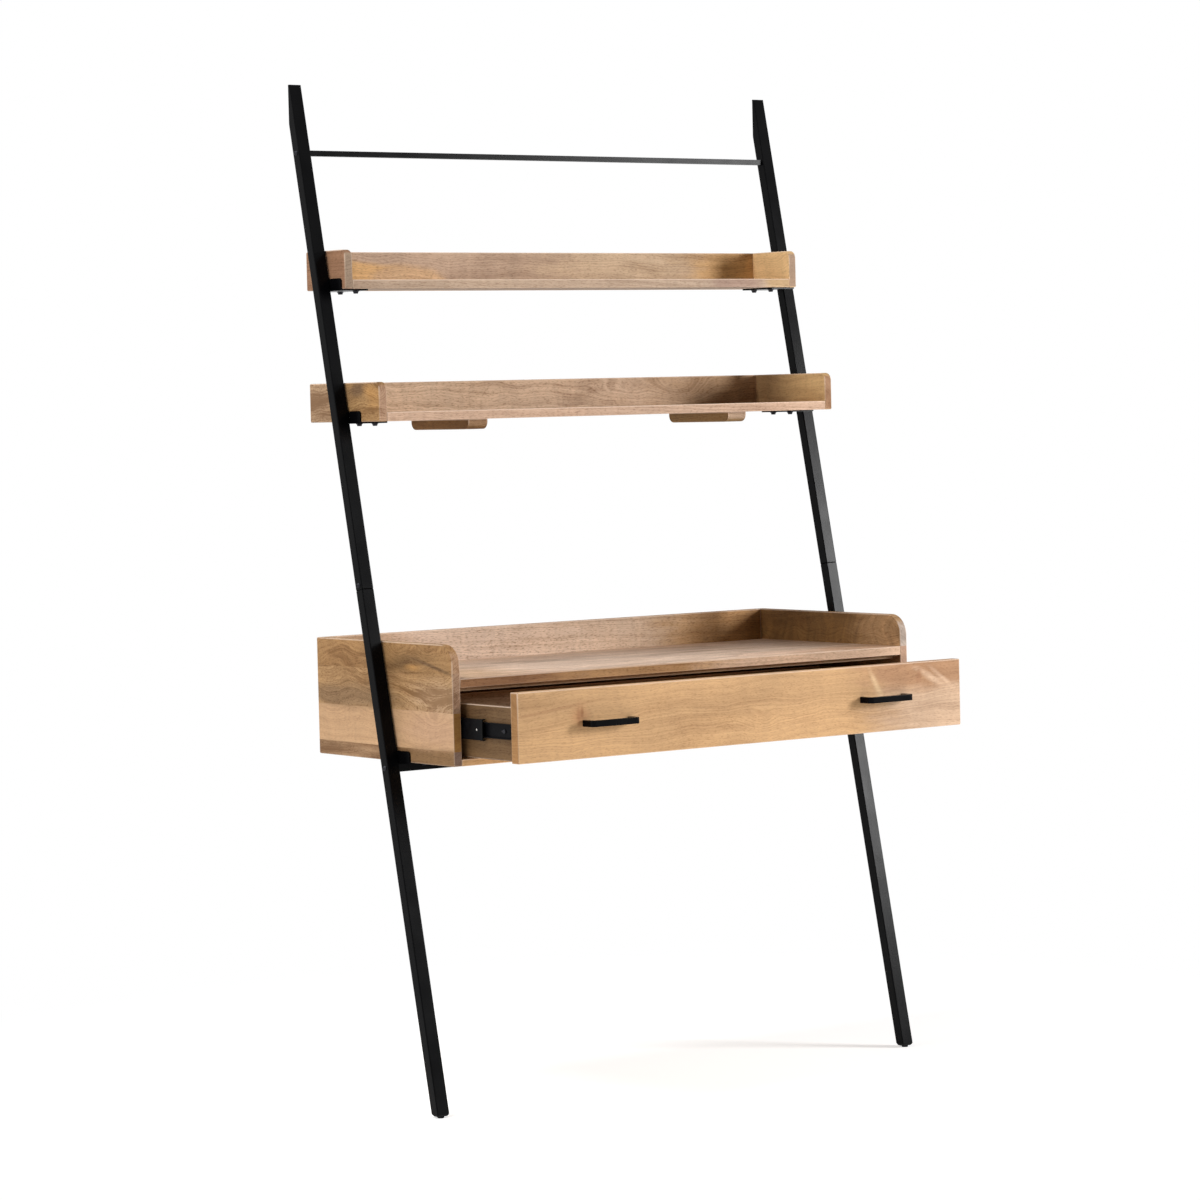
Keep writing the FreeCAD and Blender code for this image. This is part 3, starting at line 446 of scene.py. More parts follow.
def arris_highlight_mask(tree, coords, xyz, first, last):
    """How much pale line an arris of the box from first to last lays on the wood: sanded wood and painted
    highlight, more at the top.
    """
    centre = [(a + b) / 2 for a, b in zip(first, last)]
    half = [(b - a) / 2 for a, b in zip(first, last)]
    inset = add(tree, "VectorMath", {"operation": "SUBTRACT"}, {0: coords.outputs["Object"], 1: centre})
    inset = add(tree, "VectorMath", {"operation": "ABSOLUTE"}, {0: inset})
    inset = add(tree, "VectorMath", {"operation": "SUBTRACT"}, {0: half, 1: inset})
    inset = add(tree, "SeparateXYZ", None, {0: inset})
    small = add(tree, "Math", {"operation": "MINIMUM"}, {0: inset.outputs["X"], 1: inset.outputs["Y"]})
    large = add(tree, "Math", {"operation": "MAXIMUM"}, {0: inset.outputs["X"], 1: inset.outputs["Y"]})
    large = add(tree, "Math", {"operation": "MINIMUM"}, {0: large, 1: inset.outputs["Z"]})
    to_arris = add(tree, "Math", {"operation": "MAXIMUM"}, {0: small, 1: large})
    top_light_share = add(tree, "MapRange", None,
                {"Value": xyz.outputs["Z"], "From Min": centre[2], "From Max": last[2],
                 "To Min": LOW_ARRIS_HIGHLIGHT_SHARE, "To Max": ARRIS_HIGHLIGHT_SHARE})
    return add(tree, "MapRange", {"interpolation_type": "SMOOTHSTEP"},
               {"Value": to_arris, "From Min": ARRIS, "From Max": ARRIS_CORE * ARRIS, "To Max": top_light_share})


print("arris", ARRIS * PER_MM, "mm wide")

# %% [markdown]
# ## The finished board
# Oil soaks in and leaves a satin skin. Dark figure and end grain are a little rougher, and the open pores
# are real dents, so they make the bump. One function puts the steps above together for any board: only the
# list of its staves, blushes and knots differs from board to board.

# %% Material for a mango board
OIL_ROUGHNESS = 0.56
DARK_ROUGHER = 0.14
END_ROUGHER = 0.15
OIL_SHEEN = 0.22                          # a thin oil reflects less than a varnish
WOOD_IOR = 1.5
PORE_DEPTH = 0.00012
PORE_STRENGTH = 0.6


def mango(name, node_name, grain, across, staves, blushes_and_painted_light=(), knots=(), bend=0.05, rings=0.35, pores=0.4,
          ripple=0.05, clouds=0.12):
    """Mango wood for the board node_name, with its fibres along one axis and its staves side by side
    along another. A stave is (start in metres from the board's lower edge, colour of its faces, colour of
    its end grain, cut, streaks, curl, figure). A blush is (along, across, half length, half height, colour,
    slant, softness), a knot (along, across, radius, heart), both in metres from the board's low corner."""
    material = new_material(name)
    tree = material.node_tree
    first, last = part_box(node_name)
    low, high = ([corner["XYZ".index(axis)] for axis in (grain, across)] for corner in (first, last))

    coords = add(tree, "TexCoord")
    place, xyz = place_in_board(tree, coords, grain, across)
    face, end, cut_ramp = stave_ramps(tree, staves, xyz.outputs[across], low[1], high[1])
    cut = add(tree, "SeparateColor", None, {0: cut_ramp})
    stave_seed = add(tree, "Math", {"operation": "MULTIPLY"}, {0: cut.outputs["Red"], 1: SEED_SPAN})
    curl = add(tree, "Math", {"operation": "MULTIPLY"}, {0: cut.outputs["Blue"], 1: CURL_SPAN})
    bulge, heart = push_rings(tree, place, low, knots)
    figure = add(tree, "Group", {"node_tree": figure_tree},
                 {"Place": place, "Seed": stave_seed, "Bend": bend, "Curl": curl, "Bulge": bulge})

    dark = darkness(tree, figure, cut_ramp, cut.outputs["Green"], rings, pores, heart)
    end_grain = end_grain_mask(tree, coords, grain)
    tone = lay_blushes_and_painted_light(tree, face, place, low, blushes_and_painted_light)
    tone = add(tree, "Mix", {"data_type": "RGBA"}, {0: end_grain, MIX_A: tone, MIX_B: end})
    wood = add(tree, "VectorMath", {"operation": "MULTIPLY"},
               {0: tone.outputs[MIX_RESULT], 1: shade(tree, figure, dark, ripple, clouds)})
    # pale arrises: partly sanded wood, partly painted highlight, stronger at the top of a board
    arris_highlight = arris_highlight_mask(tree, coords, xyz, first, last)
    wood = add(tree, "Mix", {"data_type": "RGBA"}, {0: arris_highlight, MIX_A: wood, MIX_B: linear(ARRIS_HIGHLIGHT_TONE)})

    rough = add(tree, "Math", {"operation": "MULTIPLY_ADD"}, {0: dark, 1: DARK_ROUGHER, 2: OIL_ROUGHNESS})
    rough = add(tree, "Math", {"operation": "MULTIPLY_ADD"}, {0: end_grain, 1: END_ROUGHER, 2: rough})
    bump = add(tree, "Bump", {"invert": True},
               {"Height": figure.outputs["Pores"], "Distance": PORE_DEPTH, "Strength": PORE_STRENGTH})
    skin = add(tree, "BsdfPrincipled", None,
               {"Base Color": wood.outputs[MIX_RESULT], "Roughness": rough, "IOR": WOOD_IOR,
                "Specular IOR Level": OIL_SHEEN, "Normal": bump})
    add(tree, "OutputMaterial", None, {0: skin})
    wear(node_name, material)


print("oiled mango: roughness", OIL_ROUGHNESS, "IOR", WOOD_IOR)

# %% [markdown]
# ## The upper shelf
# Shelf floors and backs run their grain from side to side, the way a long board is cut. The small side
# panels run it from front to back, so that their end grain shows on the narrow front edge. The upper
# shelf's back has a golden wedge of sapwood at its left end.

# %% Boards of the upper shelf
HIDDEN_END = "#A08468"     # end grain that another board covers

mango("upper shelf back", "upper_shelf_back", "X", "Z",
      [(0.0, "#B1937A", HIDDEN_END, 0.07, 0.45, 0.25, 1.0)],
      blushes_and_painted_light=[(0.10, 0.060, 0.30, 0.05, "#C7A990", 0.0, 0.6), (0.0, 0.0, 0.28, 0.054, "#E6B87E", 0.0, 0.10),
               (0.19, 0.018, 0.078, 0.028, "#DBB48A", -0.04, 0.25),
               (0.0, 0.030, 0.06, 0.04, "#BF8B48", 0.0, 0.6), (0.72, 0.045, 0.20, 0.05, "#D2B493", 0.0, 0.6),
               # painted light: the warm, lighter blush at the right end lifts the shade in that corner
               (0.97, 0.030, 0.13, 0.10, "#CFA36B", 0.0, 0.5)])
mango("upper shelf floor", "upper_shelf_floor", "X", "Y",
      [(0.0, "#B69C84", HIDDEN_END, 0.22, 0.30, 0.1, 1.0)],
      blushes_and_painted_light=[(0.865, 0.0, 0.055, 0.006, "#A58774", 0.0, 0.3),
               (0.970, 0.0, 0.033, 0.006, "#BE9D72", 0.0, 0.4)])
mango("upper shelf left side", "upper_shelf_left_side", "Y", "Z",
      [(0.0, "#8F6B51", "#9E8873", 0.31, 0.35, 0.1, 1.0)])
mango("upper shelf right side", "upper_shelf_right_side", "Y", "Z",
      [(0.0, "#E7BF8A", "#A68B75", 0.42, 0.20, 0.6, 0.8)])
print("upper shelf: 4 boards")

# %% [markdown]
# ## The lower shelf
# The same tray, deeper, on two battens. Its back shows two swirls where branches ended, and its left side
# is one brown, streaky board with a small knot.

# %% Boards of the lower shelf
mango("lower shelf back", "lower_shelf_back", "X", "Z",
      [(0.0, "#CDAD90", HIDDEN_END, 0.55, 0.45, 0.3, 1.0)],
      knots=[(0.79, 0.045, 0.018, 0.0), (0.65, 0.040, 0.013, 0.0)], rings=0.45,
      # partly the wood's tone and partly painted light and shade: paler at the left end, darker and warmer at
      # the right end where the right side shadows the back
      blushes_and_painted_light=[(0.05, 0.035, 0.40, 0.20, "#ECCBAA", 0.0, 0.6),
               (0.97, 0.035, 0.21, 0.20, "#B38F6A", 0.0, 0.6)])
mango("lower shelf floor", "lower_shelf_floor", "X", "Y",
      [(0.0, "#C8A68C", HIDDEN_END, 0.61, 0.25, 0.1, 1.0),
       (0.11, "#B89678", HIDDEN_END, 0.15, 0.40, 0.1, 1.0)])
mango("lower shelf left side", "lower_shelf_left_side", "Y", "Z",
      [(0.0, "#A88458", "#C09B7E", 0.73, 0.80, 0.7, 1.5)],
      knots=[(0.017, 0.010, 0.004, 0.5)],
      blushes_and_painted_light=[(0.20, 0.035, 0.07, 0.10, "#A88A6C", 0.0, 0.5),
               (0.064, 0.058, 0.030, 0.012, "#7E6246", -0.1, 0.8),
               (0.022, 0.048, 0.022, 0.018, "#C0925A", 0.2, 0.7)])
mango("lower shelf right side", "lower_shelf_right_side", "Y", "Z",
      [(0.0, "#D0AB78", "#A78061", 0.81, 0.45, 0.3, 0.8)],
      blushes_and_painted_light=[(0.18, 0.035, 0.07, 0.10, "#BE9A6E", 0.0, 0.6)])
for side, face_tone, end_tone in (("left", "#7C582F", "#A2805E"), ("right", "#8D6F46", "#AD927A")):
    mango(side + " batten", side + "_lower_shelf_batten", "Y", "X",
          [(0.0, face_tone, end_tone, 0.9, 0.5, 0.1, 1.0)])
print("shelf boards:", sum(1 for name in nodes if "shelf" in name and nodes[name].data.materials))

# %% [markdown]
# ## The sides and the back of the desk
# The desk's side panels are the widest boards and show their staves best. The left one has four: a narrow
# dark one at the bottom, a pale one, a streaky brown one, and one with a curl near the front on top.

# %% Sides and back of the desk
mango("desk left side", "desk_left_side", "Y", "Z",
      [(0.0, "#8C6948", "#8A7060", 0.12, 0.85, 0.2, 0.8), (0.025, "#C29C76", "#A0733D", 0.35, 0.10, 0.4, 0.5),
       (0.091, "#B38D61", "#B28F73", 0.47, 0.95, 0.6, 1.1),
       (0.159, "#A78054", "#BC9675", 0.86, 0.60, 0.9, 1.0)],
      knots=[(0.135, 0.170, 0.014, 0.3), (0.035, 0.146, 0.009, 0.2), (0.055, 0.075, 0.010, 0.0)],
      rings=0.45, pores=0.5,
      blushes_and_painted_light=[(0.36, 0.010, 0.13, 0.015, "#A88664", 0.0, 0.3),
               (0.02, 0.010, 0.15, 0.018, "#866643", 0.0, 0.4),
               (0.33, 0.108, 0.16, 0.020, "#957654", 0.0, 0.5),
               (0.03, 0.112, 0.08, 0.03, "#CCAA84", 0.0, 0.6),
               (0.05, 0.060, 0.09, 0.03, "#C19B7A", 0.0, 0.6),
               (0.10, 0.175, 0.08, 0.020, "#9E7A50", 0.0, 0.8),
               (0.148, 0.172, 0.045, 0.011, "#785A38", -0.1, 0.9),
               (0.063, 0.170, 0.050, 0.0025, "#74573A", 0.21, 0.9),
               (0.120, 0.166, 0.020, 0.005, "#BE9058", 0.0, 0.9)])
mango("desk right side", "desk_right_side", "Y", "Z",
      [(0.0, "#B08860", "#BC9880", 0.18, 0.30, 0.2, 1.0),
       (0.150, "#8A663B", "#BCAB9E", 0.66, 0.50, 0.9, 1.0)],
      ripple=0.2,
      blushes_and_painted_light=[(0.05, 0.18, 0.14, 0.07, "#AB8760", 0.0, 0.6), (0.19, 0.18, 0.07, 0.08, "#7E5C34", 0.0, 0.7)])
mango("desk back", "desk_back", "X", "Z",
      [(0.0, "#A98461", HIDDEN_END, 0.28, 0.60, 0.2, 1.0),
       (0.110, "#D3B69B", HIDDEN_END, 0.52, 0.40, 0.1, 1.0)],
      pores=0.5,
      # paler at the left end, partly wood and partly painted light; golden brown toward the right, partly
      # wood and partly painted shade; the small dark patch in the right corner is painted shade
      blushes_and_painted_light=[(0.05, 0.18, 0.41, 0.20, "#E8CEB8", 0.0, 0.6), (0.02, 0.18, 0.11, 0.20, "#C7A584", 0.0, 0.6),
               (0.85, 0.18, 0.11, 0.20, "#BE986E", 0.0, 0.6), (0.97, 0.18, 0.14, 0.20, "#B48754", 0.0, 0.6),
               (1.0, 0.12, 0.05, 0.09, "#8E6638", 0.0, 0.6)])
print("desk sides and back: 3 boards")

# %% [markdown]
# ## The boards of the desk that lie flat
# The writing board is four wide staves, pale in the middle, partly from its paler staves and partly from a
# painted reflection of the white surroundings; its right back end is darker with painted shade beside the
# right side. Its front edge is seen on its own, so a few thin blushes lie only there. The bottom board and
# the strip that stops the drawer stay plain.

# %% Flat boards of the desk
mango("writing board", "desk_writing_board", "X", "Y",
      [(0.0, "#C69E7F", HIDDEN_END, 0.39, 0.40, 0.2, 1.0),
       (0.095, "#D6B89E", HIDDEN_END, 0.05, 0.35, 0.1, 1.0),
       (0.20, "#C4A084", HIDDEN_END, 0.71, 0.45, 0.2, 1.0),
       (0.30, "#D0AE92", HIDDEN_END, 0.88, 0.35, 0.1, 1.0)],
      # painted reflection: the pale blush in the middle; painted shade: the darker blush at the right back
      # end, beside the right side
      blushes_and_painted_light=[(0.42, 0.20, 0.36, 0.25, "#EACFB8", 0.0, 0.6), (0.99, 0.30, 0.30, 0.22, "#B89A82", 0.0, 0.6),
               (0.03, 0.15, 0.13, 0.20, "#D2AF8C", 0.0, 0.6), (0.82, 0.0, 0.28, 0.006, "#D4B193", 0.0, 0.4),
               (0.08, 0.0, 0.22, 0.006, "#9C6E46", 0.0, 0.3), (0.38, 0.0, 0.17, 0.006, "#C89A66", 0.0, 0.5)])
mango("bottom board", "desk_bottom_board", "X", "Y",
      [(0.0, "#D2A675", HIDDEN_END, 0.44, 0.35, 0.1, 1.0),
       (0.12, "#C9A37D", HIDDEN_END, 0.57, 0.35, 0.1, 1.0),
       (0.26, "#B08A65", HIDDEN_END, 0.03, 0.45, 0.1, 1.0)])
mango("drawer stop", "desk_drawer_stop", "X", "Z", [(0.0, "#B89672", HIDDEN_END, 0.64, 0.3, 0.1, 1.0)])
print("flat boards of the desk: 3")

# %% [markdown]
# ## The drawer
# The drawer front is one wide golden board with a small knot near the left handle and a pinkish heartwood
# blush at its right end. The drawer box is mango too, left plain: its sides are browner planks, and its back
# and bottom are paler, which is painted light that brightens the shade inside the drawer.

# %% Boards of the drawer
DRAWER_END = "#8F6F50"     # end grain of the drawer box, hidden by the front

mango("drawer front", "drawer_front", "X", "Z", [(0.0, "#C99F70", "#A77C4F", 0.58, 0.30, 0.22, 1.0)],
      knots=[(0.132, 0.078, 0.004, 0.2), (0.52, 0.040, 0.008, 0.0)],
      blushes_and_painted_light=[(0.130, 0.074, 0.016, 0.016, "#C39264", 0.0, 0.7),
               (0.127, 0.073, 0.004, 0.013, "#B07E54", 0.0, 0.9),
               (0.134, 0.079, 0.003, 0.009, "#A37148", 0.0, 0.9),
               (0.06, 0.085, 0.10, 0.0025, "#BC9064", 0.12, 0.6),
               (0.99, 0.030, 0.19, 0.09, "#CFAD8E", 0.0, 0.35),
               (0.90, 0.110, 0.155, 0.038, "#B08560", -0.02, 0.4),
               (0.790, 0.082, 0.016, 0.011, "#D9B68C", -1.7, 0.9),
               (0.925, 0.088, 0.034, 0.006, "#D6B292", -0.5, 0.9),
               (0.955, 0.082, 0.026, 0.005, "#D6B292", -0.7, 0.9),
               (0.890, 0.094, 0.006, 0.010, "#A87A56", 0.3, 0.8)],
      bend=0.06, rings=0.27, pores=0.28, ripple=0.03, clouds=0.13)
for side in ("left", "right"):
    mango(side + " drawer side", f"drawer_{side}_side", "Y", "Z",
          [(0.0, "#6D5234", DRAWER_END, 0.49, 0.6, 0.2, 1.0)])
# painted light: the back and bottom are paler to brighten the shade inside the drawer
mango("drawer back", "drawer_back", "X", "Z", [(0.0, "#B89878", DRAWER_END, 0.09, 0.4, 0.2, 1.0)])
mango("drawer bottom", "drawer_bottom_panel", "X", "Y",
      [(0.0, "#CCB090", DRAWER_END, 0.26, 0.3, 0.1, 1.0), (0.12, "#C8AA88", DRAWER_END, 0.77, 0.3, 0.1, 1.0),
       (0.24, "#D0B494", DRAWER_END, 0.95, 0.3, 0.1, 1.0)])
print("drawer boards: 5")

# %% [markdown]
# ## Beech dowels
# The dowels are turned beech, pale and plain. They are hidden in the joints, so flecks of two close tones
# are enough.

# %% Beech
FLECK_MM = 2.5
beech = new_material("turned beech")
tree = beech.node_tree
spot = add(tree, "TexCoord")
flecks = add(tree, "TexNoise", None,
             {"Vector": spot.outputs["Object"], "Scale": PER_MM / FLECK_MM, "Detail": 2.0})
pale = stops(add(tree, "ValToRGB", None, {0: flecks}), [(0.35, linear("#D8B78C")), (0.65, linear("#C49E70"))])
skin = add(tree, "BsdfPrincipled", None, {"Base Color": pale, "Roughness": 0.6, "IOR": WOOD_IOR})
add(tree, "OutputMaterial", None, {0: skin})
for node_name in ("case_dowels", "drawer_dowels"):
    wear(node_name, beech)
print("beech on the dowels")

# %% [markdown]
# ## Black powder coat
# Legs, rail, brackets and handles are mild steel with a satin black powder coat, sprayed as dust and baked.
# It melts into a skin with a fine orange peel, which breaks up every highlight. The paint hides the steel,
# so the material isn't metallic. The peel is about 1 mm from bump to bump, and the colour and the gloss
# drift slowly along a tube.

# %% Powder coat
PEEL_MM = 1.1
PEEL_DEPTH = 0.00002
DRIFT_MM = 55.5556
COAT_SHEEN = 0.06          # the coat reflects far less than its IOR alone would give
powder_coat = new_material("black powder coat")
tree = powder_coat.node_tree
spot = add(tree, "TexCoord")
peel = add(tree, "TexNoise", None,
           {"Vector": spot.outputs["Object"], "Scale": PER_MM / PEEL_MM, "Detail": 1.0})
drift = add(tree, "TexNoise", None,
            {"Vector": spot.outputs["Object"], "Scale": PER_MM / DRIFT_MM, "Detail": 4.0})
black = stops(add(tree, "ValToRGB", None, {0: drift}), [(0.3, linear("#030304")), (0.7, linear("#070708"))])
rough = add(tree, "MapRange", None,
            {"Value": drift, "From Min": 0.3, "From Max": 0.7, "To Min": 0.22, "To Max": 0.28})
bump = add(tree, "Bump", None, {"Height": peel, "Distance": PEEL_DEPTH, "Strength": 0.7})
skin = add(tree, "BsdfPrincipled", None, {"Base Color": black, "Roughness": rough, "IOR": 1.45,
                                          "Specular IOR Level": COAT_SHEEN, "Normal": bump})
add(tree, "OutputMaterial", None, {0: skin})
coated = [name for name in nodes if name.endswith(("_leg", "_connector", "_brackets", "_handle", "_plugs"))]
coated += ["wall_plates", "top_rail", "crossbar"]
for node_name in coated:
    wear(node_name, powder_coat)
print("powder coat on", len(coated), "nodes")

# %% [markdown]
# ## Slides, screws and plastic
# The slides are rolled steel with a thin black dip paint, which has no orange peel. Their cages and balls
# are bright steel. Screws are blackened zinc: metal, but so dark that it only shows in highlights. The caps
# and feet under the legs are moulded black polypropylene with a faint spark-eroded texture. All four vary
# with one noise of their own size, so one function makes them. The metals keep the default IOR.

# %% Black dip paint, black zinc, bright steel, polypropylene
def grained(name, colours, roughness, grain_mm, depth, skin_values):
    """A material whose colour, gloss and surface vary with one noise of a given grain."""
    material = new_material(name)
    tree = material.node_tree
    spot = add(tree, "TexCoord")
    grain = add(tree, "TexNoise", None,
                {"Vector": spot.outputs["Object"], "Scale": PER_MM / grain_mm, "Detail": 3.0})
    colour = stops(add(tree, "ValToRGB", None, {0: grain}),
                   [(0.35, linear(colours[0])), (0.65, linear(colours[1]))])
    rough = add(tree, "MapRange", None, {"Value": grain, "From Min": 0.3, "From Max": 0.7,
                                         "To Min": roughness[0], "To Max": roughness[1]})
    bump = add(tree, "Bump", None, {"Height": grain, "Distance": depth, "Strength": 0.5})
    skin = add(tree, "BsdfPrincipled", None,
               {"Base Color": colour, "Roughness": rough, "Normal": bump, **skin_values})
    add(tree, "OutputMaterial", None, {0: skin})
    return material


dip_paint = grained("black dip paint on rolled steel", ("#08080A", "#0E0E10"), (0.3, 0.42), 9.0, 0.00003,
                    {"IOR": 1.45, "Specular IOR Level": 0.05})
black_zinc = grained("blackened zinc", ("#26262A", "#3A3A3E"), (0.35, 0.5), 1.5, 0.00002, {"Metallic": 1.0})
bright_steel = grained("bright steel", ("#C4C2BD", "#D6D4CF"), (0.22, 0.32), 2.0, 0.00001, {"Metallic": 1.0})
moulded_pp = grained("moulded black polypropylene", ("#0F0F0F", "#151515"), (0.45, 0.6), 0.8, 0.00004,
                     {"IOR": 1.45, "Specular IOR Level": 0.06})
finishes = {"_member": dip_paint, "_cage": bright_steel, "_screws": black_zinc, "_bolts": black_zinc,
            "_screws_in_desk": black_zinc, "_screws_in_drawer": black_zinc,
            "_end_cap": moulded_pp, "_levelling_foot": moulded_pp}
for node_name in nodes:
    for ending, finish in finishes.items():
        if node_name.endswith(ending):
            wear(node_name, finish)
bare = [name for name, node in nodes.items() if not (node.data.materials and node.data.materials[0].users)]
print("nodes without a finish:", bare)

# %% [markdown]
# ## Rivets in the slides
# Each middle member carries a small bright rivet near its front end, which stops the ball cage, and each
# drawer member a blackened one. They are too small for the frame, so they are made here and ride along.

# %% Rivets
RIVET_R = 0.0018
RIVET_H = 0.0008
RIVET_TAPER = 0.7
RIVET_SUNK = 0.4           # the part of a head that lies in the sheet
SHEET = 0.0012
MIDDLE_BACK = 0.011        # how far a rivet lies behind the front end of its member
DRAWER_BACK = 0.0365


def rivet(name, centre, body, finish):
    """A low round head whose axis lies along X."""
    mesh = bpy.data.meshes.new(name)
    bm = bmesh.new()
    upright = Matrix.Translation(centre) @ Matrix.Rotation(math.radians(90), 4, "Y")
    bmesh.ops.create_cone(bm, cap_ends=True, segments=24, radius1=RIVET_R, radius2=RIVET_R * RIVET_TAPER,
                          depth=RIVET_H, matrix=upright)
    bm.to_mesh(mesh)
    bm.free()
    head = bpy.data.objects.new(name, mesh)
    bpy.context.scene.collection.objects.link(head)
    mesh.materials.append(finish)
    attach(head, body)


for side, inward in (("left", 1), ("right", -1)):
    for member, body, back, from_web, finish, slot in (
            ("middle", side + "_middle_member", MIDDLE_BACK, 0.0, bright_steel, "ball_cage_steel"),
            ("drawer", "drawer", DRAWER_BACK, -SHEET, black_zinc, "black_fasteners")):
        low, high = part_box(f"{side}_slide_{member}_member")
        outer, inner = (low[0], high[0]) if inward > 0 else (high[0], low[0])
        web = outer if member == "middle" else inner
        x = web + inward * (from_web - RIVET_SUNK * RIVET_H)
        rivet(f"{side}_{member}_rivet", (x, low[1] + back, (low[2] + high[2]) / 2), body, finish)
print("rivets: 4, each", 2 * RIVET_R * PER_MM, "mm wide")

# %% [markdown]
# ## Bumpers of the slides
# A moulded collar is clipped on the front end of each middle member and softens the last bit of its travel.
# It follows the member's channel, flush inside so that the drawer member passes, and a little proud
# outside. Its section is drawn as one face and pushed forward, which gives a closed body, and a narrow
# bevel rounds its edges. The bevel numbers its faces differently from run to run, so each face is turned
# to start at its lowest corner and the faces are sorted, which makes every run give the same mesh.

# %% Bumpers
BUMPER_LEN = 0.0055
PROUD = 0.0007
MOULD_ROUND = 0.0003       # a moulded edge is never sharp


def bumper(side, inward):
    """A channel-shaped collar in front of the middle member, whose web lies on its outward side."""
    low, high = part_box(side + "_slide_middle_member")
    web, tip = (low[0], high[0]) if inward > 0 else (high[0], low[0])
    inside, outside = web + inward * SHEET, web - inward * PROUD
    under, sill = low[2] - PROUD, low[2] + SHEET
    lintel, over = high[2] - SHEET, high[2] + PROUD
    section = [(outside, under), (tip, under), (tip, sill), (inside, sill),
               (inside, lintel), (tip, lintel), (tip, over), (outside, over)]
    bm = bmesh.new()
    rear = bm.faces.new([bm.verts.new((x, low[1], z)) for x, z in section])
    front = bmesh.ops.extrude_face_region(bm, geom=[rear], use_keep_orig=True)
    front_verts = [item for item in front["geom"] if isinstance(item, bmesh.types.BMVert)]
    bmesh.ops.translate(bm, verts=front_verts, vec=(0.0, -BUMPER_LEN, 0.0))
    bmesh.ops.recalc_face_normals(bm, faces=bm.faces)
    bmesh.ops.bevel(bm, geom=bm.edges[:], offset=MOULD_ROUND, segments=2, affect="EDGES", profile=0.5)
    print(side, "bumper closed:", all(edge.is_manifold for edge in bm.edges), "faces:", len(bm.faces))
    bm.verts.index_update()
    rings = [[vert.index for vert in face.verts] for face in bm.faces]
    starts = [ring.index(min(ring)) for ring in rings]
    faces = sorted(ring[start:] + ring[:start] for ring, start in zip(rings, starts))
    mesh = bpy.data.meshes.new(side + " bumper")
    mesh.from_pydata([vert.co[:] for vert in bm.verts], [], faces)
    bm.free()
    mesh.materials.append(moulded_pp)
    collar = bpy.data.objects.new(side + "_slide_bumper", mesh)
    bpy.context.scene.collection.objects.link(collar)
    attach(collar, side + "_middle_member")


for side, inward in (("left", 1), ("right", -1)):
    bumper(side, inward)
print("bumpers: 2, each", BUMPER_LEN * PER_MM, "mm long")

# %% [markdown]
# ## What a background ray is
# The sky should look white, but a sky as bright as that would flood the desk with light. So it is bright
# only for rays that show a background: rays from the camera, from a gloss or through glass. All other rays
# meet a dim sky. The floor uses the same switch for its far part.

# %% Background rays
def shows_background(tree):
    """1 for rays that show a background, 0 for rays that light the object."""
    ray = add(tree, "LightPath")
    seen = add(tree, "Math", {"operation": "MAXIMUM"},
               {0: ray.outputs["Is Camera Ray"], 1: ray.outputs["Is Glossy Ray"]})
    return add(tree, "Math", {"operation": "MAXIMUM"}, {0: seen, 1: ray.outputs["Is Transmission Ray"]})


print("a background ray comes from the camera, a gloss or glass")

# %% [markdown]
# ## Floor
# A pale matte floor, lit like anything else, so it keeps the desk's shadow. A glow lifts it to white. All
# rays meet this glow, so it also fills the desk from below, as a white studio floor does. For background
# rays the far part fades into the white surroundings, so that no horizon shows.

# %% Floor
FLOOR_RADIUS = 9.0
FLOOR_GLOW = 0.55
CLEAR_FROM, CLEAR_TO = 0.75, 1.6          # where the lit floor fades into the white surroundings
bm = bmesh.new()
bmesh.ops.create_circle(bm, cap_ends=True, segments=96, radius=FLOOR_RADIUS)
floor_mesh = bpy.data.meshes.new("floor")
bm.to_mesh(floor_mesh)
bm.free()
floor = bpy.data.objects.new("floor", floor_mesh)
bpy.context.scene.collection.objects.link(floor)
floor_paint = new_material("pale floor")
tree = floor_paint.node_tree
matte = add(tree, "BsdfDiffuse", None, {"Color": linear("#E8E8E8")})
glow = add(tree, "Emission", None, {"Color": WHITE, "Strength": FLOOR_GLOW})
lifted = add(tree, "AddShader", None, {0: matte, 1: glow})
white = add(tree, "Emission", None, {"Color": WHITE, "Strength": 1.0})
spot = add(tree, "TexCoord")
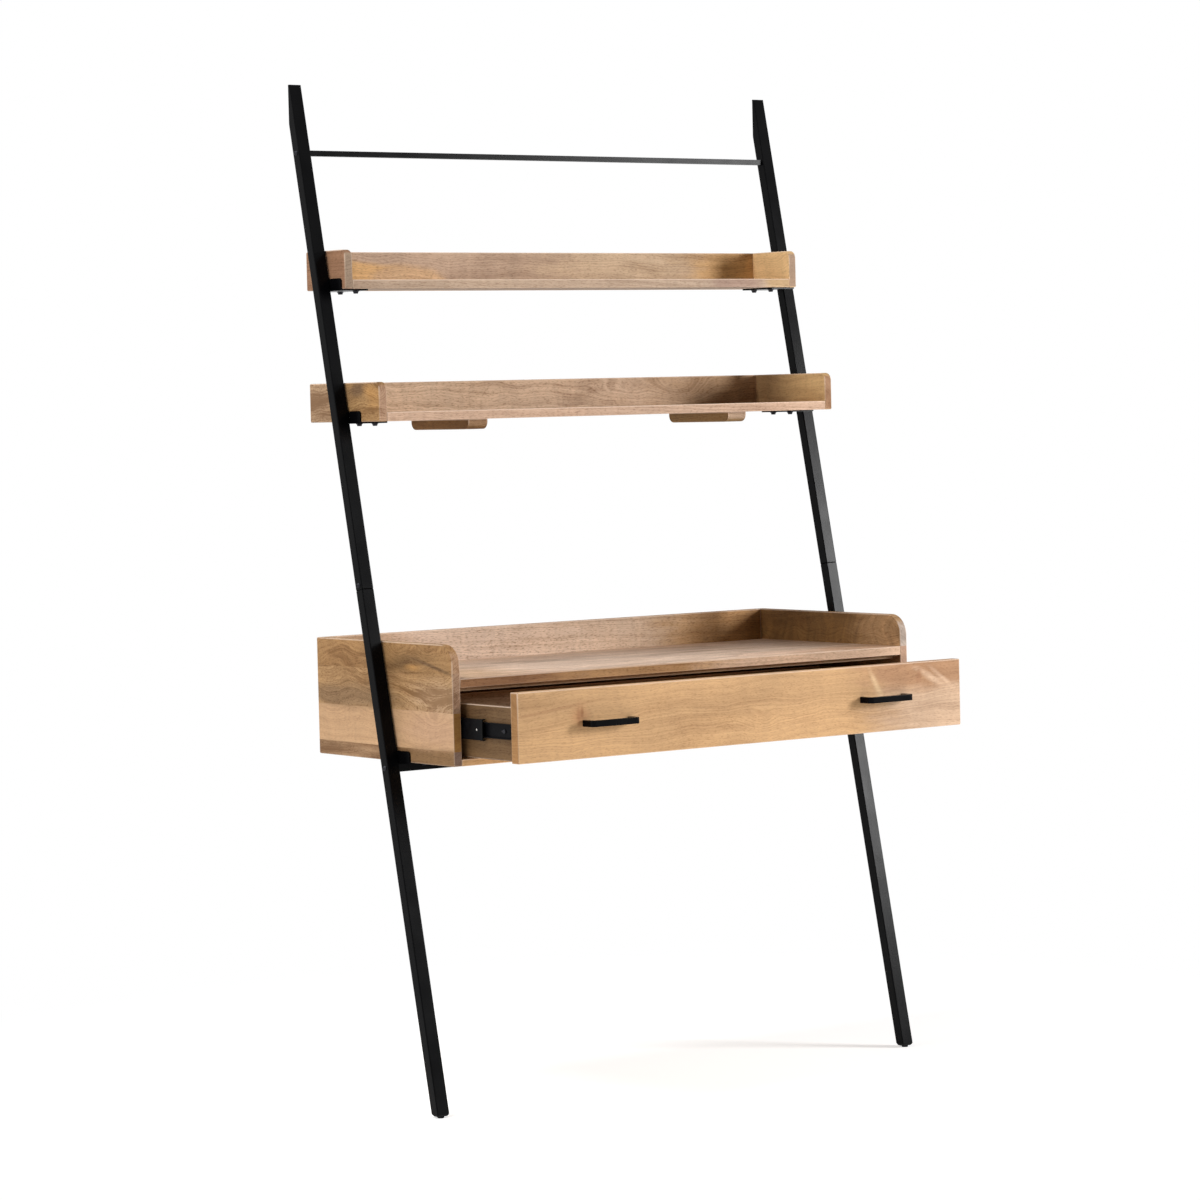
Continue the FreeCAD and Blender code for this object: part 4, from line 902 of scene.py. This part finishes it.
from_centre = add(tree, "VectorMath", {"operation": "LENGTH"}, {0: spot.outputs["Object"]}).outputs["Value"]
clear = add(tree, "MapRange", {"interpolation_type": "SMOOTHSTEP"},
            {"Value": from_centre, "From Min": CLEAR_FROM, "From Max": CLEAR_TO})
faded = add(tree, "MixShader", None, {0: clear, 1: lifted, 2: white})
shown = add(tree, "MixShader", None, {0: shows_background(tree), 1: lifted, 2: faded})
add(tree, "OutputMaterial", None, {0: shown})
floor_mesh.materials.append(floor_paint)
print("floor radius", FLOOR_RADIUS, "m")

# %% [markdown]
# ## World
# The surroundings are white to look at and dim as a light, so that the shade in the corners of the trays
# keeps its depth.

# %% World
SKY = 0.14
world = bpy.data.worlds.new("studio")
bpy.context.scene.world = world
world.use_nodes = True
tree = world.node_tree
tree.nodes.clear()
strength = add(tree, "MapRange", None, {"Value": shows_background(tree), "To Min": SKY, "To Max": 1.0})
sky = add(tree, "Background", None, {"Color": WHITE, "Strength": strength})
add(tree, "OutputWorld", None, {0: sky})
bpy.context.scene.view_settings.view_transform = "Standard"
print("sky", SKY)

# %% [markdown]
# ## Lamps
# One soft lamp stands to the right in front and gives the shade in the corners. A wide weak one on the
# left fills, and one from above lights the writing board and the shelves. All three are large, because a
# small lamp would draw hard shadows under the shelves.

# %% Lamps
LAMPS = {"key": dict(at=(3.25, -2.95, 1.77), size=(1.0, 1.27), watts=180.0),
         "fill": dict(at=(-3.8, 0.2, 1.5), size=(2.5, 2.5), watts=39.0),
         "top": dict(at=(-1.8, 0.1, 3.6), size=(1.6, 1.6), watts=75.0)}
LOOK_AT = Vector((0.0, 0.1, 0.95))

for name, lamp in LAMPS.items():
    data = bpy.data.lights.new(name, "AREA")
    data.shape = "RECTANGLE"
    data.size, data.size_y = lamp["size"]
    data.energy = lamp["watts"]
    holder = bpy.data.objects.new(name, data)
    holder.location = lamp["at"]
    holder.rotation_euler = (LOOK_AT - Vector(lamp["at"])).to_track_quat("-Z", "Y").to_euler()
    bpy.context.scene.collection.objects.link(holder)
print({name: lamp["watts"] for name, lamp in LAMPS.items()}, "W")
